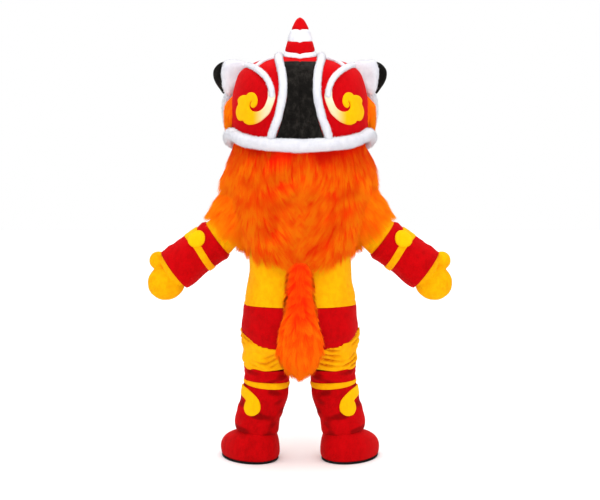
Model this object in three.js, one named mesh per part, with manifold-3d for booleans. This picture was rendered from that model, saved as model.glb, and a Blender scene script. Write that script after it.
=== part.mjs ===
// A lion dance costume in its worn form: a padded plush head with a horn and ears, a long fur mane,
// a yellow and red plush suit, mittens, boots and a tail. Millimetres, +Z up. The lion faces -Y and
// its left side is +X. The origin is where the suit's yoke rests on the wearer's shoulders.
// The head, the suit, the mittens and the boots are hollow, with openings where the wearer goes in.

import * as THREE from "three";
import { mergeVertices } from "three/addons/utils/BufferGeometryUtils.js";
import Module from "manifold-3d";

const wasm = await Module();
wasm.setup();

// Driving dimensions

const YOKE_HEIGHT = 1300; // wearer's shoulders above the floor
const GAP = 0.4; // between pieces that touch
const HEAD_WALL = 15; // foam with plush over it
const SUIT_WALL = 9; // quilted plush
const MITTEN_WALL = 7;
const BOOT_WALL = 9;
const APPLIQUE = 7; // padded pieces sewn on the head
const MOTIF = 5; // flat pieces sewn on cuff and leg
const ROLL_RADIUS = 33; // white roll round the head's lower edge
const ROLL_STAND_OFF = 8; // of the roll's centre line out of the head's surface
const PIPING_RADIUS = 19;
const CURL_RADIUS = 15;
const BRANCH_RADIUS = 9;
const SOLE_THICK = 10;
const PAST = 30; // a cutting form runs this far past the piece that it opens
const BODY_SIDES = 16;
const HEAD_SIDES = 20;
const LIMB_SIDES = 10;
const FOOT_SIDES = 12;
const ARM_START = { x: 379.5, z: 988.5 }; // centre of the cuff's upper edge
const ARM_SLOPE = 35.9; // degrees below level
const CUFF_LENGTH = 229;
const FOOT = { x: 227, y: -38, halfLength: 170, halfWidth: 125, turnOut: 25 };

// Tables of level sections: height above the floor, half width, depth to the back and to the front

const HEAD_ROWS = [
  { level: 1360, half: 288, back: 256, front: 272 },
  { level: 1400, half: 297, back: 265, front: 283 },
  { level: 1450, half: 306, back: 276, front: 294 },
  { level: 1500, half: 308, back: 280, front: 299 },
  { level: 1570, half: 305, back: 279, front: 297 },
  { level: 1634, half: 301, back: 266, front: 280 },
  { level: 1695, half: 287, back: 243, front: 252 },
  { level: 1740, half: 264, back: 210, front: 214 },
  { level: 1774, half: 215, back: 152, front: 162 },
  { level: 1793, half: 160, back: 102, front: 114 },
  { level: 1803, half: 95, back: 64, front: 66 },
];
const HEAD_TOP = 1807;
const HEAD_STEPS = [0, 0.22, 0.45, 0.66, 0.82, 0.93, 1]; // closer together towards the crown

const BODY_ROWS = [
  { level: 455, half: 120, back: 92, front: 88 },
  { level: 472, half: 205, back: 150, front: 142 },
  { level: 503, half: 250, back: 196, front: 188 },
  { level: 557, half: 263, back: 212, front: 205 },
  { level: 624, half: 260, back: 209, front: 205 },
  { level: 705, half: 253, back: 202, front: 203 },
  { level: 768, half: 240, back: 194, front: 201 },
  { level: 810, half: 232, back: 190, front: 202 },
  { level: 885, half: 228, back: 188, front: 203 },
  { level: 1000, half: 230, back: 188, front: 202 },
  { level: 1100, half: 232, back: 184, front: 192 },
  { level: 1200, half: 228, back: 170, front: 172 },
  { level: 1265, half: 205, back: 148, front: 146 },
  { level: 1305, half: 160, back: 122, front: 118 },
  { level: 1330, half: 118, back: 102, front: 98 },
  { level: 1360, half: 112, back: 98, front: 94 },
];
const NECK_LEVEL = 1330;
const TORSO_STEPS = [0, 0.35, 0.65, 0.84, 0.94, 1]; // closer together towards the shoulders

const MANE_ROWS = [
  { level: 850, half: 238, back: 236, front: 232 },
  { level: 900, half: 250, back: 240, front: 236 },
  { level: 1000, half: 276, back: 246, front: 242 },
  { level: 1100, half: 312, back: 252, front: 246 },
  { level: 1180, half: 336, back: 258, front: 250 },
  { level: 1240, half: 344, back: 262, front: 254 },
  { level: 1292, half: 346, back: 266, front: 258 },
  { level: 1358, half: 330, back: 270, front: 272 },
  { level: 1420, half: 312, back: 276, front: 292 },
];

// One leg, with its centre x. The thigh rows in and out are its drooping folds.
const LEG_ROWS = [
  { level: 100, x: 196, half: 96, back: 96, front: 96 },
  { level: 147, x: 194, half: 100, back: 100, front: 100 },
  { level: 200, x: 185.5, half: 103.5, back: 103, front: 103 },
  { level: 246, x: 171.5, half: 104.5, back: 104, front: 104 },
  { level: 296, x: 158, half: 105, back: 105, front: 105 },
  { level: 354, x: 151, half: 103, back: 104, front: 104 },
  { level: 390, x: 147.5, half: 105.5, back: 106, front: 106 },
  { level: 412, x: 147, half: 103, back: 106, front: 106 },
  { level: 430, x: 146, half: 108, back: 118, front: 116 },
  { level: 444, x: 145, half: 106, back: 120, front: 118 },
  { level: 462, x: 142, half: 114, back: 138, front: 134 },
  { level: 480, x: 137, half: 114, back: 146, front: 140 },
  { level: 510, x: 132, half: 116, back: 160, front: 152 },
];
const CROTCH_LEVEL = 500;

// Height of the head's lower edge round it: degrees from the middle of the back to that of the front
const RIM_ROWS = [
  { level: 0, height: 1404 },
  { level: 35, height: 1418 },
  { level: 52, height: 1434 },
  { level: 70, height: 1457 },
  { level: 96, height: 1434 },
  { level: 135, height: 1410 },
  { level: 180, height: 1402 },
];

// Lower edge of the hip band, by degrees from the side towards the middle of back or front
const HIP_EDGE_ROWS = [
  { level: 0, height: 593 },
  { level: 24, height: 566 },
  { level: 45, height: 530 },
  { level: 65, height: 519 },
  { level: 90, height: 516 },
];
const HIP_TOP = { height: 707, sag: 4 };
const SEAT = { low: 455, lowInside: 470, highInside: 640 };

// Edges round the leg: height, rise towards the outer side, sag at back and front
const LEG_EDGES = {
  bandTop: { height: 417, rise: 6.5, sag: 4.5 },
  thinTop: { height: 360, rise: 7, sag: 1 },
  thinBottom: { height: 342, rise: 11, sag: 9 },
  hem: { height: 135, rise: 13, sag: 8 },
};

// Horn sections, from its base to the tip: the centre's depth, half width and tilt to the back
const HORN_ROWS = [
  { level: 1772, y: 59, half: 83, tip: 12 },
  { level: 1806, y: 55, half: 75.5, tip: 12 },
  { level: 1828, y: 50, half: 67, tip: 13 },
  { level: 1873, y: 40, half: 56, tip: 9 },
  { level: 1924, y: 28, half: 40, tip: 4 },
  { level: 1955, y: 22, half: 25, tip: 2 },
  { level: 1970, y: 20, half: 13, tip: 0 },
];
const HORN_TOP = 1977;
const [HORN_FOOT, STRIPE_1, STRIPE_2, STRIPE_3, STRIPE_4] = HORN_ROWS.map((row) => row.level);

// Sleeve sections from shoulder to cuff: centre, half size and slope below level
const SLEEVE_ROWS = [
  { level: 0, x: 120, z: 1222, half: 84, slope: 40 },
  { level: 80, x: 190, z: 1196, half: 90, slope: 48 },
  { level: 160, x: 250, z: 1132, half: 88, slope: 52 },
  { level: 240, x: 306, z: 1062, half: 86, slope: 46 },
  { level: 345, x: 379.5, z: 988.5, half: 88, slope: 35.9 },
  { level: 375, x: 403.8, z: 970.9, half: 88, slope: 35.9 },
];
const SLEEVE_END = 345;

const TAIL_ROWS = [
  { level: 388, y: 262, half: 6, deep: 8 },
  { level: 405, y: 262, half: 38, deep: 20 },
  { level: 436, y: 262, half: 69, deep: 30 },
  { level: 484, y: 261, half: 92, deep: 38 },
  { level: 560, y: 260, half: 101, deep: 42 },
  { level: 619, y: 255, half: 90, deep: 42 },
  { level: 690, y: 246, half: 72, deep: 38 },
  { level: 731, y: 240, half: 69, deep: 36 },
  { level: 808, y: 230, half: 71, deep: 36 },
  { level: 875, y: 226, half: 62, deep: 32 },
  { level: 905, y: 222, half: 44, deep: 24 },
];

// Boot sections: centre, half length and half width of the foot's outline
const BOOT_ROWS = [
  { level: 10, x: 227, y: -38, long: 167, half: 122 },
  { level: 50, x: 228, y: -40, long: 171, half: 127 },
  { level: 90, x: 222, y: -28, long: 150, half: 122 },
  { level: 113, x: 212, y: -10, long: 122, half: 112 },
  { level: 124, x: 197, y: 0, long: 87, half: 86 },
  { level: 185, x: 190, y: 0, long: 84, half: 84 },
  { level: 215, x: 186, y: 0, long: 84, half: 84 },
];
const BOOT_TOP = 185;

// Colours with roughness
const FINISH = {
  red: [0xd2091a, 0.85],
  yellow: [0xf8c400, 0.85],
  orange: [0xf26a10, 0.9],
  black: [0x16120f, 0.85],
  white: [0xf0f0f2, 0.85],
  eyeWhite: [0xf4f2ea, 0.35],
  gloss: [0x0c0b0b, 0.25],
  sole: [0x231f1e, 0.8],
};

const rad = THREE.MathUtils.degToRad;

// Tables

// Reads a column of a table at a level between its rows, along a smooth curve through them.
function read(rows, level, column, fallback = 0) {
  const value = (i) => rows[i][column] ?? fallback;
  const last = rows.length - 1;
  if (level <= rows[0].level) return value(0);
  if (level >= rows[last].level) return value(last);
  const i = rows.findIndex((row) => row.level > level) - 1;
  const span = rows[i + 1].level - rows[i].level;
  const t = (level - rows[i].level) / span;
  const slope = (k) => {
    const a = Math.max(k - 1, 0);
    const b = Math.min(k + 1, last);
    return ((value(b) - value(a)) / (rows[b].level - rows[a].level)) * span;
  };
  const rest = 1 - t;
  return (
    value(i) * (1 + 2 * t) * rest * rest +
    slope(i) * t * rest * rest +
    value(i + 1) * t * t * (3 - 2 * t) -
    slope(i + 1) * t * t * rest
  );
}

// A skin is a surface through a table of sections, as a garment's cloth is. A point on it is given
// by its angle round the section (0 at +X, 90 at the back) and its level in the table.
class Skin {
  constructor(rows, roundness = 2) {
    this.rows = rows;
    this.roundness = roundness;
  }

  point(angle, level) {
    const col = (name, fallback) => read(this.rows, level, name, fallback);
    const c = Math.cos(rad(angle));
    const s = Math.sin(rad(angle));
    const bend = 2 / this.roundness;
    const half = col("half");
    const deep = col(s > 0 ? "back" : "front", 0) || col("deep", 0) || half;
    const across = half * Math.sign(c) * Math.abs(c) ** bend;
    const along = deep * Math.sign(s) * Math.abs(s) ** bend;
    const tip = rad(col("tip", 0));
    const slope = rad(col("slope", 90));
    const height = this.rows[0].z === undefined ? level : col("z");
    return new THREE.Vector3(
      col("x") + across * Math.sin(slope),
      col("y") + along * Math.cos(tip),
      height + across * Math.cos(slope) - along * Math.sin(tip),
    );
  }

  // The point moved out of the surface by a distance, square to it.
  at(angle, level, out = 0) {
    const p = this.point(angle, level);
    if (out === 0) return p;
    const step = 1.5;
    const round = this.point(angle + step, level).sub(this.point(angle - step, level));
    const up = this.point(angle, level + step).sub(this.point(angle, level - step));
    const first = this.rows[0].level;
    const last = this.rows[this.rows.length - 1].level;
    if (level >= last) up.copy(p).sub(this.point(angle, level - step));
    if (level <= first) up.copy(this.point(angle, level + step)).sub(p);
    const normal = round.cross(up).normalize();
    const away = p.clone().sub(this.centre(level));
    if (normal.dot(away) < 0) normal.negate();
    return p.addScaledVector(normal, out);
  }

  centre(level) {
    return this.point(0, level).add(this.point(180, level)).multiplyScalar(0.5);
  }
}

// Meshes

const valueAt = (edge, angle) => (typeof edge === "function" ? edge(angle) : edge);

function signedVolume(points, faces) {
  return faces.reduce(
    (sum, [a, b, c]) => sum + points[a].dot(points[b].clone().cross(points[c])) / 6,
    0,
  );
}

// A closed geometry of points and faces, turned so that its faces point out.
function closedGeometry(points, faces) {
  const turned = signedVolume(points, faces) < 0 ? turnedOver(faces) : faces;
  const geometry = new THREE.BufferGeometry().setFromPoints(points);
  geometry.setIndex(turned.flat());
  return geometry;
}

// Faces between two rings of points that start at the given numbers. Their diagonals are mirrored
// from left to right, so that a piece and its mirror image fit the same surface.
function band(a, b, sides) {
  const faces = [];
  for (let i = 0; i < sides; i++) {
    const j = (i + 1) % sides;
    const onLeft = Math.cos(((i + 0.5) / sides) * Math.PI * 2) > 0;
    if (onLeft) faces.push([a + i, a + j, b + i], [a + j, b + j, b + i]);
    else faces.push([a + i, b + j, b + i], [a + i, a + j, b + j]);
  }
  return faces;
}

// The same faces seen from their other side.
const turnedOver = (faces) => faces.map(([a, b, c]) => [a, c, b]);

const evenSteps = (rows) => Array.from({ length: rows + 1 }, (_, j) => j / rows);

// One layer of a skin between two edges, as rows of points. The steps are the rows' places
// between the edges, as parts of one.
function layer(skin, { from, to, steps, sides, out = 0 }) {
  const points = [];
  for (const step of steps) {
    for (let i = 0; i < sides; i++) {
      const angle = (i / sides) * 360;
      const low = valueAt(from, angle);
      const high = valueAt(to, angle);
      points.push(skin.at(angle, low + (high - low) * step, out));
    }
  }
  return points;
}

// A hollow wall along a skin, open at both ends.
function wall(skin, { from, to, rows, sides, thick, out = 0, steps = evenSteps(rows) }) {
  const outer = layer(skin, { from, to, steps, sides, out });
  const inner = layer(skin, { from, to, steps, sides, out: out - thick });
  const start = outer.length;
  const count = steps.length - 1;
  const faces = [];
  for (let j = 0; j < count; j++) {
    faces.push(...band(j * sides, (j + 1) * sides, sides));
    faces.push(...turnedOver(band(start + j * sides, start + (j + 1) * sides, sides)));
  }
  faces.push(...band(start, 0, sides));
  faces.push(...turnedOver(band(start + count * sides, count * sides, sides)));
  return closedGeometry([...outer, ...inner], faces);
}

// The whole space inside a skin, closed at both ends, with its top drawn up to a point.
function core(skin, { from, to, rows, sides, out = 0, top = 0, bottom = 0, steps = evenSteps(rows) }) {
  const points = layer(skin, { from, to, steps, sides, out });
  const count = steps.length - 1;
  const middle = (start) => {
    const sum = new THREE.Vector3();
    for (let i = 0; i < sides; i++) sum.add(points[start + i]);
    return sum.multiplyScalar(1 / sides);
  };
  const low = middle(0);
  const high = middle(count * sides);
  low.z -= bottom;
  high.z += top;
  const first = points.length;
  points.push(low, high);
  const faces = [];
  for (let j = 0; j < count; j++) faces.push(...band(j * sides, (j + 1) * sides, sides));
  for (let i = 0; i < sides; i++) {
    const next = (i + 1) % sides;
    faces.push([first, next, i]);
    faces.push([first + 1, count * sides + i, count * sides + next]);
  }
  return closedGeometry(points, faces);
}

// A disc as a flat shape with straight sides, its first corner turned by a part of a side.
function disc(radius, sides, part = 0, x = 0, y = 0) {
  const corners = Array.from({ length: sides }, (_, i) => {
    const turn = ((i + part) / sides) * Math.PI * 2;
    return new THREE.Vector2(x + radius * Math.cos(turn), y + radius * Math.sin(turn));
  });
  return new THREE.Shape(corners);
}

// A round tube along a path.
function tube(path, radius, { sides = 6, steps = 12 } = {}) {
  const ring = disc(radius, sides, 0.5);
  const curve = new THREE.CatmullRomCurve3(path, false, "centripetal");
  return new THREE.ExtrudeGeometry(ring, { steps, bevelEnabled: false, extrudePath: curve });
}

// An egg with three half sizes at a place.
function egg(centre, size, { around = 10, down = 7 } = {}) {
  const geometry = new THREE.SphereGeometry(1, around, down);
  return geometry.scale(size.x, size.y, size.z).translate(centre.x, centre.y, centre.z);
}

// Booleans

function solid(geometry) {
  const bare = geometry.clone();
  for (const name of ["normal", "uv"]) bare.deleteAttribute(name);
  const merged = mergeVertices(bare, 1e-3);
  const index = [...merged.index.array];
  const kept = [];
  for (let i = 0; i < index.length; i += 3) {
    const [a, b, c] = index.slice(i, i + 3);
    if (a !== b && b !== c && a !== c) kept.push(a, b, c);
  }
  return new wasm.Manifold(
    new wasm.Mesh({
      numProp: 3,
      vertProperties: Float32Array.from(merged.attributes.position.array),
      triVerts: Uint32Array.from(kept),
    }),
  );
}

function geometryOf(body) {
  const mesh = body.getMesh();
  const geometry = new THREE.BufferGeometry();
  geometry.setAttribute("position", new THREE.BufferAttribute(mesh.vertProperties, 3));
  geometry.setIndex([...mesh.triVerts]);
  return geometry;
}

const cutBy = (body, ...tools) => tools.reduce((rest, tool) => rest.subtract(tool), body);
const joined = (bodies) => bodies.reduce((sum, body) => sum.add(body));

// The same solid on the other side of the middle plane.
function mirrored(geometry) {
  const copy = geometry.clone().scale(-1, 1, 1);
  const index = copy.index ? [...copy.index.array] : [...Array(copy.attributes.position.count).keys()];
  for (let i = 0; i < index.length; i += 3) [index[i + 1], index[i + 2]] = [index[i + 2], index[i + 1]];
  copy.setIndex(index);
  return copy;
}

// The object

const costume = new THREE.Group();
const onFloor = new THREE.Group();
onFloor.position.z = -YOKE_HEIGHT;
costume.add(onFloor);

function addPiece(name, finish, shape) {
  const geometry = shape instanceof THREE.BufferGeometry ? shape : geometryOf(shape);
  const [color, roughness] = FINISH[finish];
  const material = new THREE.MeshStandardMaterial({ color, roughness, metalness: 0 });
  const mesh = new THREE.Mesh(geometry, material);
  mesh.name = name;
  onFloor.add(mesh);
}

// A piece on the left and its mirror image on the right.
function addPair(name, finish, shape) {
  const geometry = shape instanceof THREE.BufferGeometry ? shape : geometryOf(shape);
  addPiece(`${name}_left`, finish, geometry);
  addPiece(`${name}_right`, finish, mirrored(geometry));
}

const head = new Skin(HEAD_ROWS, 2.25);
const body = new Skin(BODY_ROWS, 2.2);
const leg = new Skin(LEG_ROWS, 2.1);
const sleeve = new Skin(SLEEVE_ROWS);
const maneSkin = new Skin(MANE_ROWS, 2.1);
const horn = new Skin(HORN_ROWS);

// Head

const fromBack = (angle) => Math.abs(((angle - 90 + 540) % 360) - 180);
const rimHeight = (angle) => read(RIM_ROWS, fromBack(angle), "height");

// The roll round the head's lower edge, a closed ring.
function rimRoll(grow = 0) {
  const around = 28;
  const sides = 7;
  const points = [];
  const faces = [];
  for (let i = 0; i < around; i++) {
    const angle = (i / around) * 360;
    const centre = head.at(angle, rimHeight(angle), ROLL_STAND_OFF);
    const out = new THREE.Vector3(Math.cos(rad(angle)), Math.sin(rad(angle)), 0);
    for (let k = 0; k < sides; k++) {
      const turn = ((k + 0.5) / sides) * Math.PI * 2;
      const p = centre.clone().addScaledVector(out, (ROLL_RADIUS + grow) * Math.cos(turn));
      p.z += (ROLL_RADIUS + grow) * Math.sin(turn);
      points.push(p);
      const next = ((i + 1) % around) * sides;
      const here = i * sides;
      const turnOn = (k + 1) % sides;
      faces.push([here + k, here + turnOn, next + k], [here + turnOn, next + turnOn, next + k]);
    }
  }
  return closedGeometry(points, faces);
}

// The space inside the head's surface, down to the rim or a little past it.
function headCore(out, past = 0) {
  const last = HEAD_ROWS[HEAD_ROWS.length - 1].level;
  const from = (angle) => rimHeight(angle) - past;
  const span = { from, to: last, steps: HEAD_STEPS, sides: HEAD_SIDES };
  return solid(core(head, { ...span, out, top: HEAD_TOP - last }));
}

const rollSpace = solid(rimRoll(GAP));
const headSpace = headCore(GAP).add(headCore(-HEAD_WALL, PAST));

// A place on the head given by its x and z, on the back (side 1) or the front (side -1).
function onHead(x, z, out = 0, side = 1) {
  const part = Math.min(Math.abs(x) / read(HEAD_ROWS, z, "half"), 1);
  const angle = side * THREE.MathUtils.radToDeg(Math.acos(part ** (head.roundness / 2)));
  const p = head.at(angle, z, out);
  return new THREE.Vector3(x < 0 ? -p.x : p.x, p.y, p.z);
}

const PRISM_LENGTH = 400;

// A bar that runs from y 0 to the front, with an outline as seen from there.
function prism(outline, curveSegments = 4) {
  const options = { depth: PRISM_LENGTH, bevelEnabled: false, curveSegments };
  return solid(new THREE.ExtrudeGeometry(outline, options).rotateX(Math.PI / 2));
}

// The smiling mouth is an opening in the front of the head.
const MOUTH = { half: 125, corner: 1534, crest: 1548, middle: 1542, low: 1484, y: -180 };

function mouthCutter() {
  const { half, corner, crest, middle, low, y } = MOUTH;
  const shape = new THREE.Shape();
  shape.moveTo(-half, corner);
  shape.quadraticCurveTo(-half * 0.5, crest, 0, middle);
  shape.quadraticCurveTo(half * 0.5, crest, half, corner);
  shape.quadraticCurveTo(half * 0.7, low, 0, low);
  shape.quadraticCurveTo(-half * 0.7, low, -half, corner);
  return prism(shape, 3).translate([0, y, 0]);
}

function headShell() {
  return cutBy(headCore(0), headCore(-HEAD_WALL, PAST), rollSpace, mouthCutter());
}

// Routes of the white rolls on the head, as places seen from behind
const PIPING_ROUTE = [
  [92, 1797, -1],
  [93, 1803, 1],
  [92, 1777, 1],
  [76, 1714, 1],
  [71, 1653, 1],
  [76, 1596, 1],
  [92, 1525, 1],
  [112, 1470, 1],
  [121, 1436, 1],
];
const CURL_ROUTE = [
  [232, 1760],
  [184, 1734],
  [141, 1692],
  [124, 1654],
  [119, 1622],
  [125, 1594],
  [142, 1559],
  [167, 1534],
  [193, 1527],
  [221, 1536],
];
const BRANCH_ROUTE = [
  [190, 1750],
  [158, 1776],
  [118, 1790],
];

const route = (rows, out) => rows.map(([x, z, side = 1]) => onHead(x, z, out, side));

const HORN_SIDES = 12;

function hornPart(from, to, out = 0, top = 0) {
  const rows = from < STRIPE_4 ? 1 : 2;
  return solid(core(horn, { from, to, rows, sides: HORN_SIDES, out, top }));
}

const hornSpace = hornPart(HORN_FOOT, STRIPE_1, GAP).add(hornPart(STRIPE_1, STRIPE_2, GAP));
const EAR = { x: 288, y: -40, z: 1713, size: { x: 70, y: 34, z: 79 } };
const EAR_DISC = { x: 319, y: -46, z: 1716, size: { x: 72, y: 20, z: 73 } };
const around = (size, grow) => ({ x: size.x + grow, y: size.y + grow, z: size.z + grow });
const earSpace = solid(egg(EAR, around(EAR.size, GAP)));

function piping(grow = 0) {
  return solid(tube(route(PIPING_ROUTE, 3), PIPING_RADIUS + grow, { steps: 11 }));
}

function curl(grow = 0) {
  const main = solid(tube(route(CURL_ROUTE, 2), CURL_RADIUS + grow, { sides: 5, steps: 13 }));
  const side = solid(tube(route(BRANCH_ROUTE, 2), BRANCH_RADIUS + grow, { sides: 5, steps: 3 }));
  return main.add(side);
}

const bothSides = (shape) => shape.add(solid(mirrored(geometryOf(shape))));
const pipingSpace = piping(GAP);
const pipingSpaces = bothSides(pipingSpace);

// The part of a bar through the back of the head that lies on it, as a padded piece is sewn on.
function sewnOn(bars, thick) {
  const reach = joined(bars.map((outline) => prism(outline))).translate([0, PRISM_LENGTH, 0]);
  return reach.intersect(headCore(thick)).subtract(headSpace);
}

// Right edge of the black panel, from the rim up to the horn
const PANEL_EDGE = [
  [106, 1425],
  [76, 1520],
  [58, 1600],
  [56, 1653],
  [60, 1714],
  [76, 1777],
  [76, 1830],
];

function crownPanel() {
  const left = PANEL_EDGE.map(([x, z]) => [-x, z]).reverse();
  const outline = new THREE.Shape([...PANEL_EDGE, ...left].map(([x, z]) => new THREE.Vector2(x, z)));
  return cutBy(sewnOn([outline], APPLIQUE), pipingSpaces, rollSpace, hornSpace);
}

// The cloud is a ring of round lobes with a hooked gap in it.
const CLOUD_LOBES = [
  [208, 1606, 27],
  [242, 1598, 25],
  [250, 1572, 27],
  [246, 1545, 25],
  [205, 1541, 22],
  [195, 1580, 20],
  [225, 1575, 34],
];
const LOBE_SIDES = 7;
const CLOUD_GAP = [
  [203, 1593],
  [214, 1577],
  [207, 1563],
];

function cloud(curlSpace) {
  const discs = CLOUD_LOBES.map(([x, z, radius]) => disc(radius, LOBE_SIDES, 0, x, z));
  const gap = solid(tube(route(CLOUD_GAP, 4), 5, { sides: 5, steps: 3 }));
  return cutBy(sewnOn(discs, APPLIQUE), curlSpace, gap);
}

const EYE = { x: 112, z: 1652, size: { x: 54, y: 30, z: 57 } };
const PUPIL = { x: 102, z: 1648, out: 26, size: { x: 24, y: 12, z: 27 } };
const NOSE = { z: 1592, size: { x: 50, y: 42, z: 30 } };
const BROW = { radius: 19, out: 10 };
const BROW_ROUTE = [
  [44, 1698],
  [84, 1728],
  [134, 1732],
  [180, 1704],
];
const LIP = { radius: 20, out: 8 };
const UPPER_LIP_ROUTE = [
  [-158, 1528],
  [-110, 1561],
  [-52, 1568],
  [0, 1560],
  [52, 1568],
  [110, 1561],
  [158, 1528],
];
const LOWER_LIP_ROUTE = [
  [-158, 1528],
  [-122, 1492],
  [-66, 1467],
  [0, 1461],
  [66, 1467],
  [122, 1492],
  [158, 1528],
];

// A roll of fur along a route on the front of the head.
function frontRoll(rows, { radius, out }, steps, grow = 0) {
  const path = rows.map(([x, z]) => onHead(x, z, out, -1));
  return solid(tube(path, radius + grow, { steps }));
}

function lipRoll(grow = 0) {
  return frontRoll(UPPER_LIP_ROUTE, LIP, 8, grow).add(frontRoll(LOWER_LIP_ROUTE, LIP, 8, grow));
}

function buildFace(keepOut) {
  const eyeAt = onHead(EYE.x, EYE.z, 4, -1);
  const eyeSpace = solid(egg(eyeAt, around(EYE.size, GAP)));
  const pupilAt = onHead(PUPIL.x, PUPIL.z, PUPIL.out, -1);
  const pupil = solid(egg(pupilAt, PUPIL.size, { around: 8, down: 5 }));
  addPair("eye", "eyeWhite", cutBy(solid(egg(eyeAt, EYE.size)), headSpace));
  addPair("pupil", "gloss", cutBy(pupil, eyeSpace, headSpace));
  addPair("brow", "white", cutBy(frontRoll(BROW_ROUTE, BROW, 6), headSpace, eyeSpace, ...keepOut));
  addPiece("lip_roll", "white", cutBy(lipRoll(), headSpace, rollSpace));
  const nose = solid(egg(onHead(0, NOSE.z, 14, -1), NOSE.size));
  addPiece("nose", "yellow", cutBy(nose, headSpace, lipRoll(GAP)));
}

// Locks of fur

// A lock is a thin leaf of fur from its root to its tip.
function lock(root, tip, width, out) {
  const along = tip.clone().sub(root);
  const across = new THREE.Vector3().crossVectors(along, out).normalize().multiplyScalar(width / 2);
  const lift = out.clone().normalize();
  const belly = root.clone().addScaledVector(along, 0.4);
  const points = [
    root,
    belly.clone().add(across),
    belly.clone().addScaledVector(lift, width * 0.3),
    belly.clone().sub(across),
    belly.clone().addScaledVector(lift, -width * 0.35),
    tip,
  ];
  const faces = [];
  for (let i = 0; i < 4; i++) {
    const j = (i + 1) % 4;
    faces.push([0, 1 + i, 1 + j], [5, 1 + j, 1 + i]);
  }
  return solid(closedGeometry(points, faces));
}

const TRIM_ROUTE = [
  [286, -158, 1712],
  [318, -152, 1650],
  [331, -150, 1584],
  [322, -152, 1515],
  [300, -156, 1452],
];
const TRIM_RADIUS = 31;

function sideTrim(grow = 0) {
  const path = TRIM_ROUTE.map(([x, y, z]) => new THREE.Vector3(x, y, z));
  return solid(tube(path, TRIM_RADIUS + grow, { steps: 8 }));
}

function sideFur() {
  const pad = solid(egg({ x: 296, y: -20, z: 1552 }, { x: 34, y: 104, z: 84 }, { around: 10, down: 7 }));
  const out = new THREE.Vector3(1, 0, 0);
  const locks = [-78, -36, 6, 48].map((y, i) => {
    const root = new THREE.Vector3(300, y - 4, 1560 + (i % 2) * 20);
    const tip = new THREE.Vector3(318, y, 1468 + (i % 2) * 14);
    return lock(root, tip, 52, out);
  });
  return joined([pad, ...locks]);
}

function buildHead() {
  addPiece("rim_roll", "white", rimRoll());
  addPiece("head_shell", "red", headShell());
  addPair("crown_piping", "white", cutBy(piping(), headSpace, rollSpace, hornSpace));
  addPair("curl_piping", "white", cutBy(curl(), headSpace, pipingSpace, earSpace));
  addPiece("crown_panel", "black", crownPanel());
  addPair("cloud", "yellow", cloud(curl(GAP)));
  const ear = cutBy(solid(egg(EAR, EAR.size)), headSpace);
  const rim = cutBy(solid(egg(EAR_DISC, EAR_DISC.size)), earSpace, headSpace);
  addPair("ear", "white", ear);
  addPair("ear_rim", "black", rim);
  const rimSpace = solid(egg(EAR_DISC, around(EAR_DISC.size, GAP)));
  const trim = cutBy(sideTrim(), headSpace, earSpace, rimSpace, rollSpace);
  addPair("side_trim", "white", trim);
  const trimSpace = sideTrim(GAP);
  addPair("side_fur", "orange", cutBy(sideFur(), headSpace, trimSpace, earSpace, rimSpace, rollSpace));
  buildFace([trimSpace, earSpace]);
}

// The horn is sewn from five bands and stuffed.
function buildHorn() {
  const foot = hornPart(HORN_FOOT, STRIPE_1 - GAP);
  const lowerWhite = hornPart(STRIPE_1, STRIPE_2 - GAP);
  const last = HORN_ROWS[HORN_ROWS.length - 1].level;
  addPiece("horn_base", "red", cutBy(foot, headSpace));
  addPiece("horn_lower_white", "white", cutBy(lowerWhite, headSpace));
  addPiece("horn_middle_red", "red", hornPart(STRIPE_2, STRIPE_3 - GAP));
  addPiece("horn_upper_white", "white", hornPart(STRIPE_3, STRIPE_4 - GAP));
  addPiece("horn_tip", "red", hornPart(STRIPE_4, last, 0, HORN_TOP - last));
}

// Suit

const hipTop = (angle) => HIP_TOP.height - HIP_TOP.sag * Math.abs(Math.sin(rad(angle)));
const sideAngle = (angle) => 90 - Math.abs(90 - (angle % 180));
const hipBottom = (angle) => read(HIP_EDGE_ROWS, sideAngle(angle), "height");
const legEdge = ({ height, rise, sag }, shift = 0) => (angle) =>
  height + rise * Math.cos(rad(angle)) - sag * Math.abs(Math.sin(rad(angle))) + shift;

function torsoCore(out, from, to) {
  return solid(core(body, { from, to, steps: TORSO_STEPS, sides: BODY_SIDES, out }));
}

// Both sleeves' inner space, grown or shrunk, to a level along them.
function sleeveCores(out, to) {
  return bothSides(solid(core(sleeve, { from: 0, to, rows: 5, sides: LIMB_SIDES, out })));
}

// The cuff stands proud of the sleeve just past its upper edge: distance along, half width.
// The row before its edge makes the edge's face square.
const CUFF_ROWS = [
  [-18, 97],
  [0, 92],
  [18, 97],
  [36, 93],
  [110, 94],
  [CUFF_LENGTH, 98],
  [CUFF_LENGTH + 20, 98],
];
const cuffSkin = () => new Skin(CUFF_ROWS.map(([along, half]) => forearmRow(along, half)));

function jacket() {
  const bottom = (angle) => hipTop(angle) + GAP / 2;
  const outer = torsoCore(0, bottom, NECK_LEVEL).add(sleeveCores(0, SLEEVE_END));
  const inner = torsoCore(-SUIT_WALL, HIP_TOP.height - 2 * PAST, NECK_LEVEL + PAST);
  return cutBy(outer, inner, sleeveCores(-SUIT_WALL, SLEEVE_END + PAST));
}

function hipBand() {
  const top = (a) => hipTop(a) - GAP / 2;
  const bottom = (a) => hipBottom(a) + GAP / 2;
  return wall(body, { from: bottom, to: top, rows: 2, sides: BODY_SIDES, thick: SUIT_WALL });
}

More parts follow.
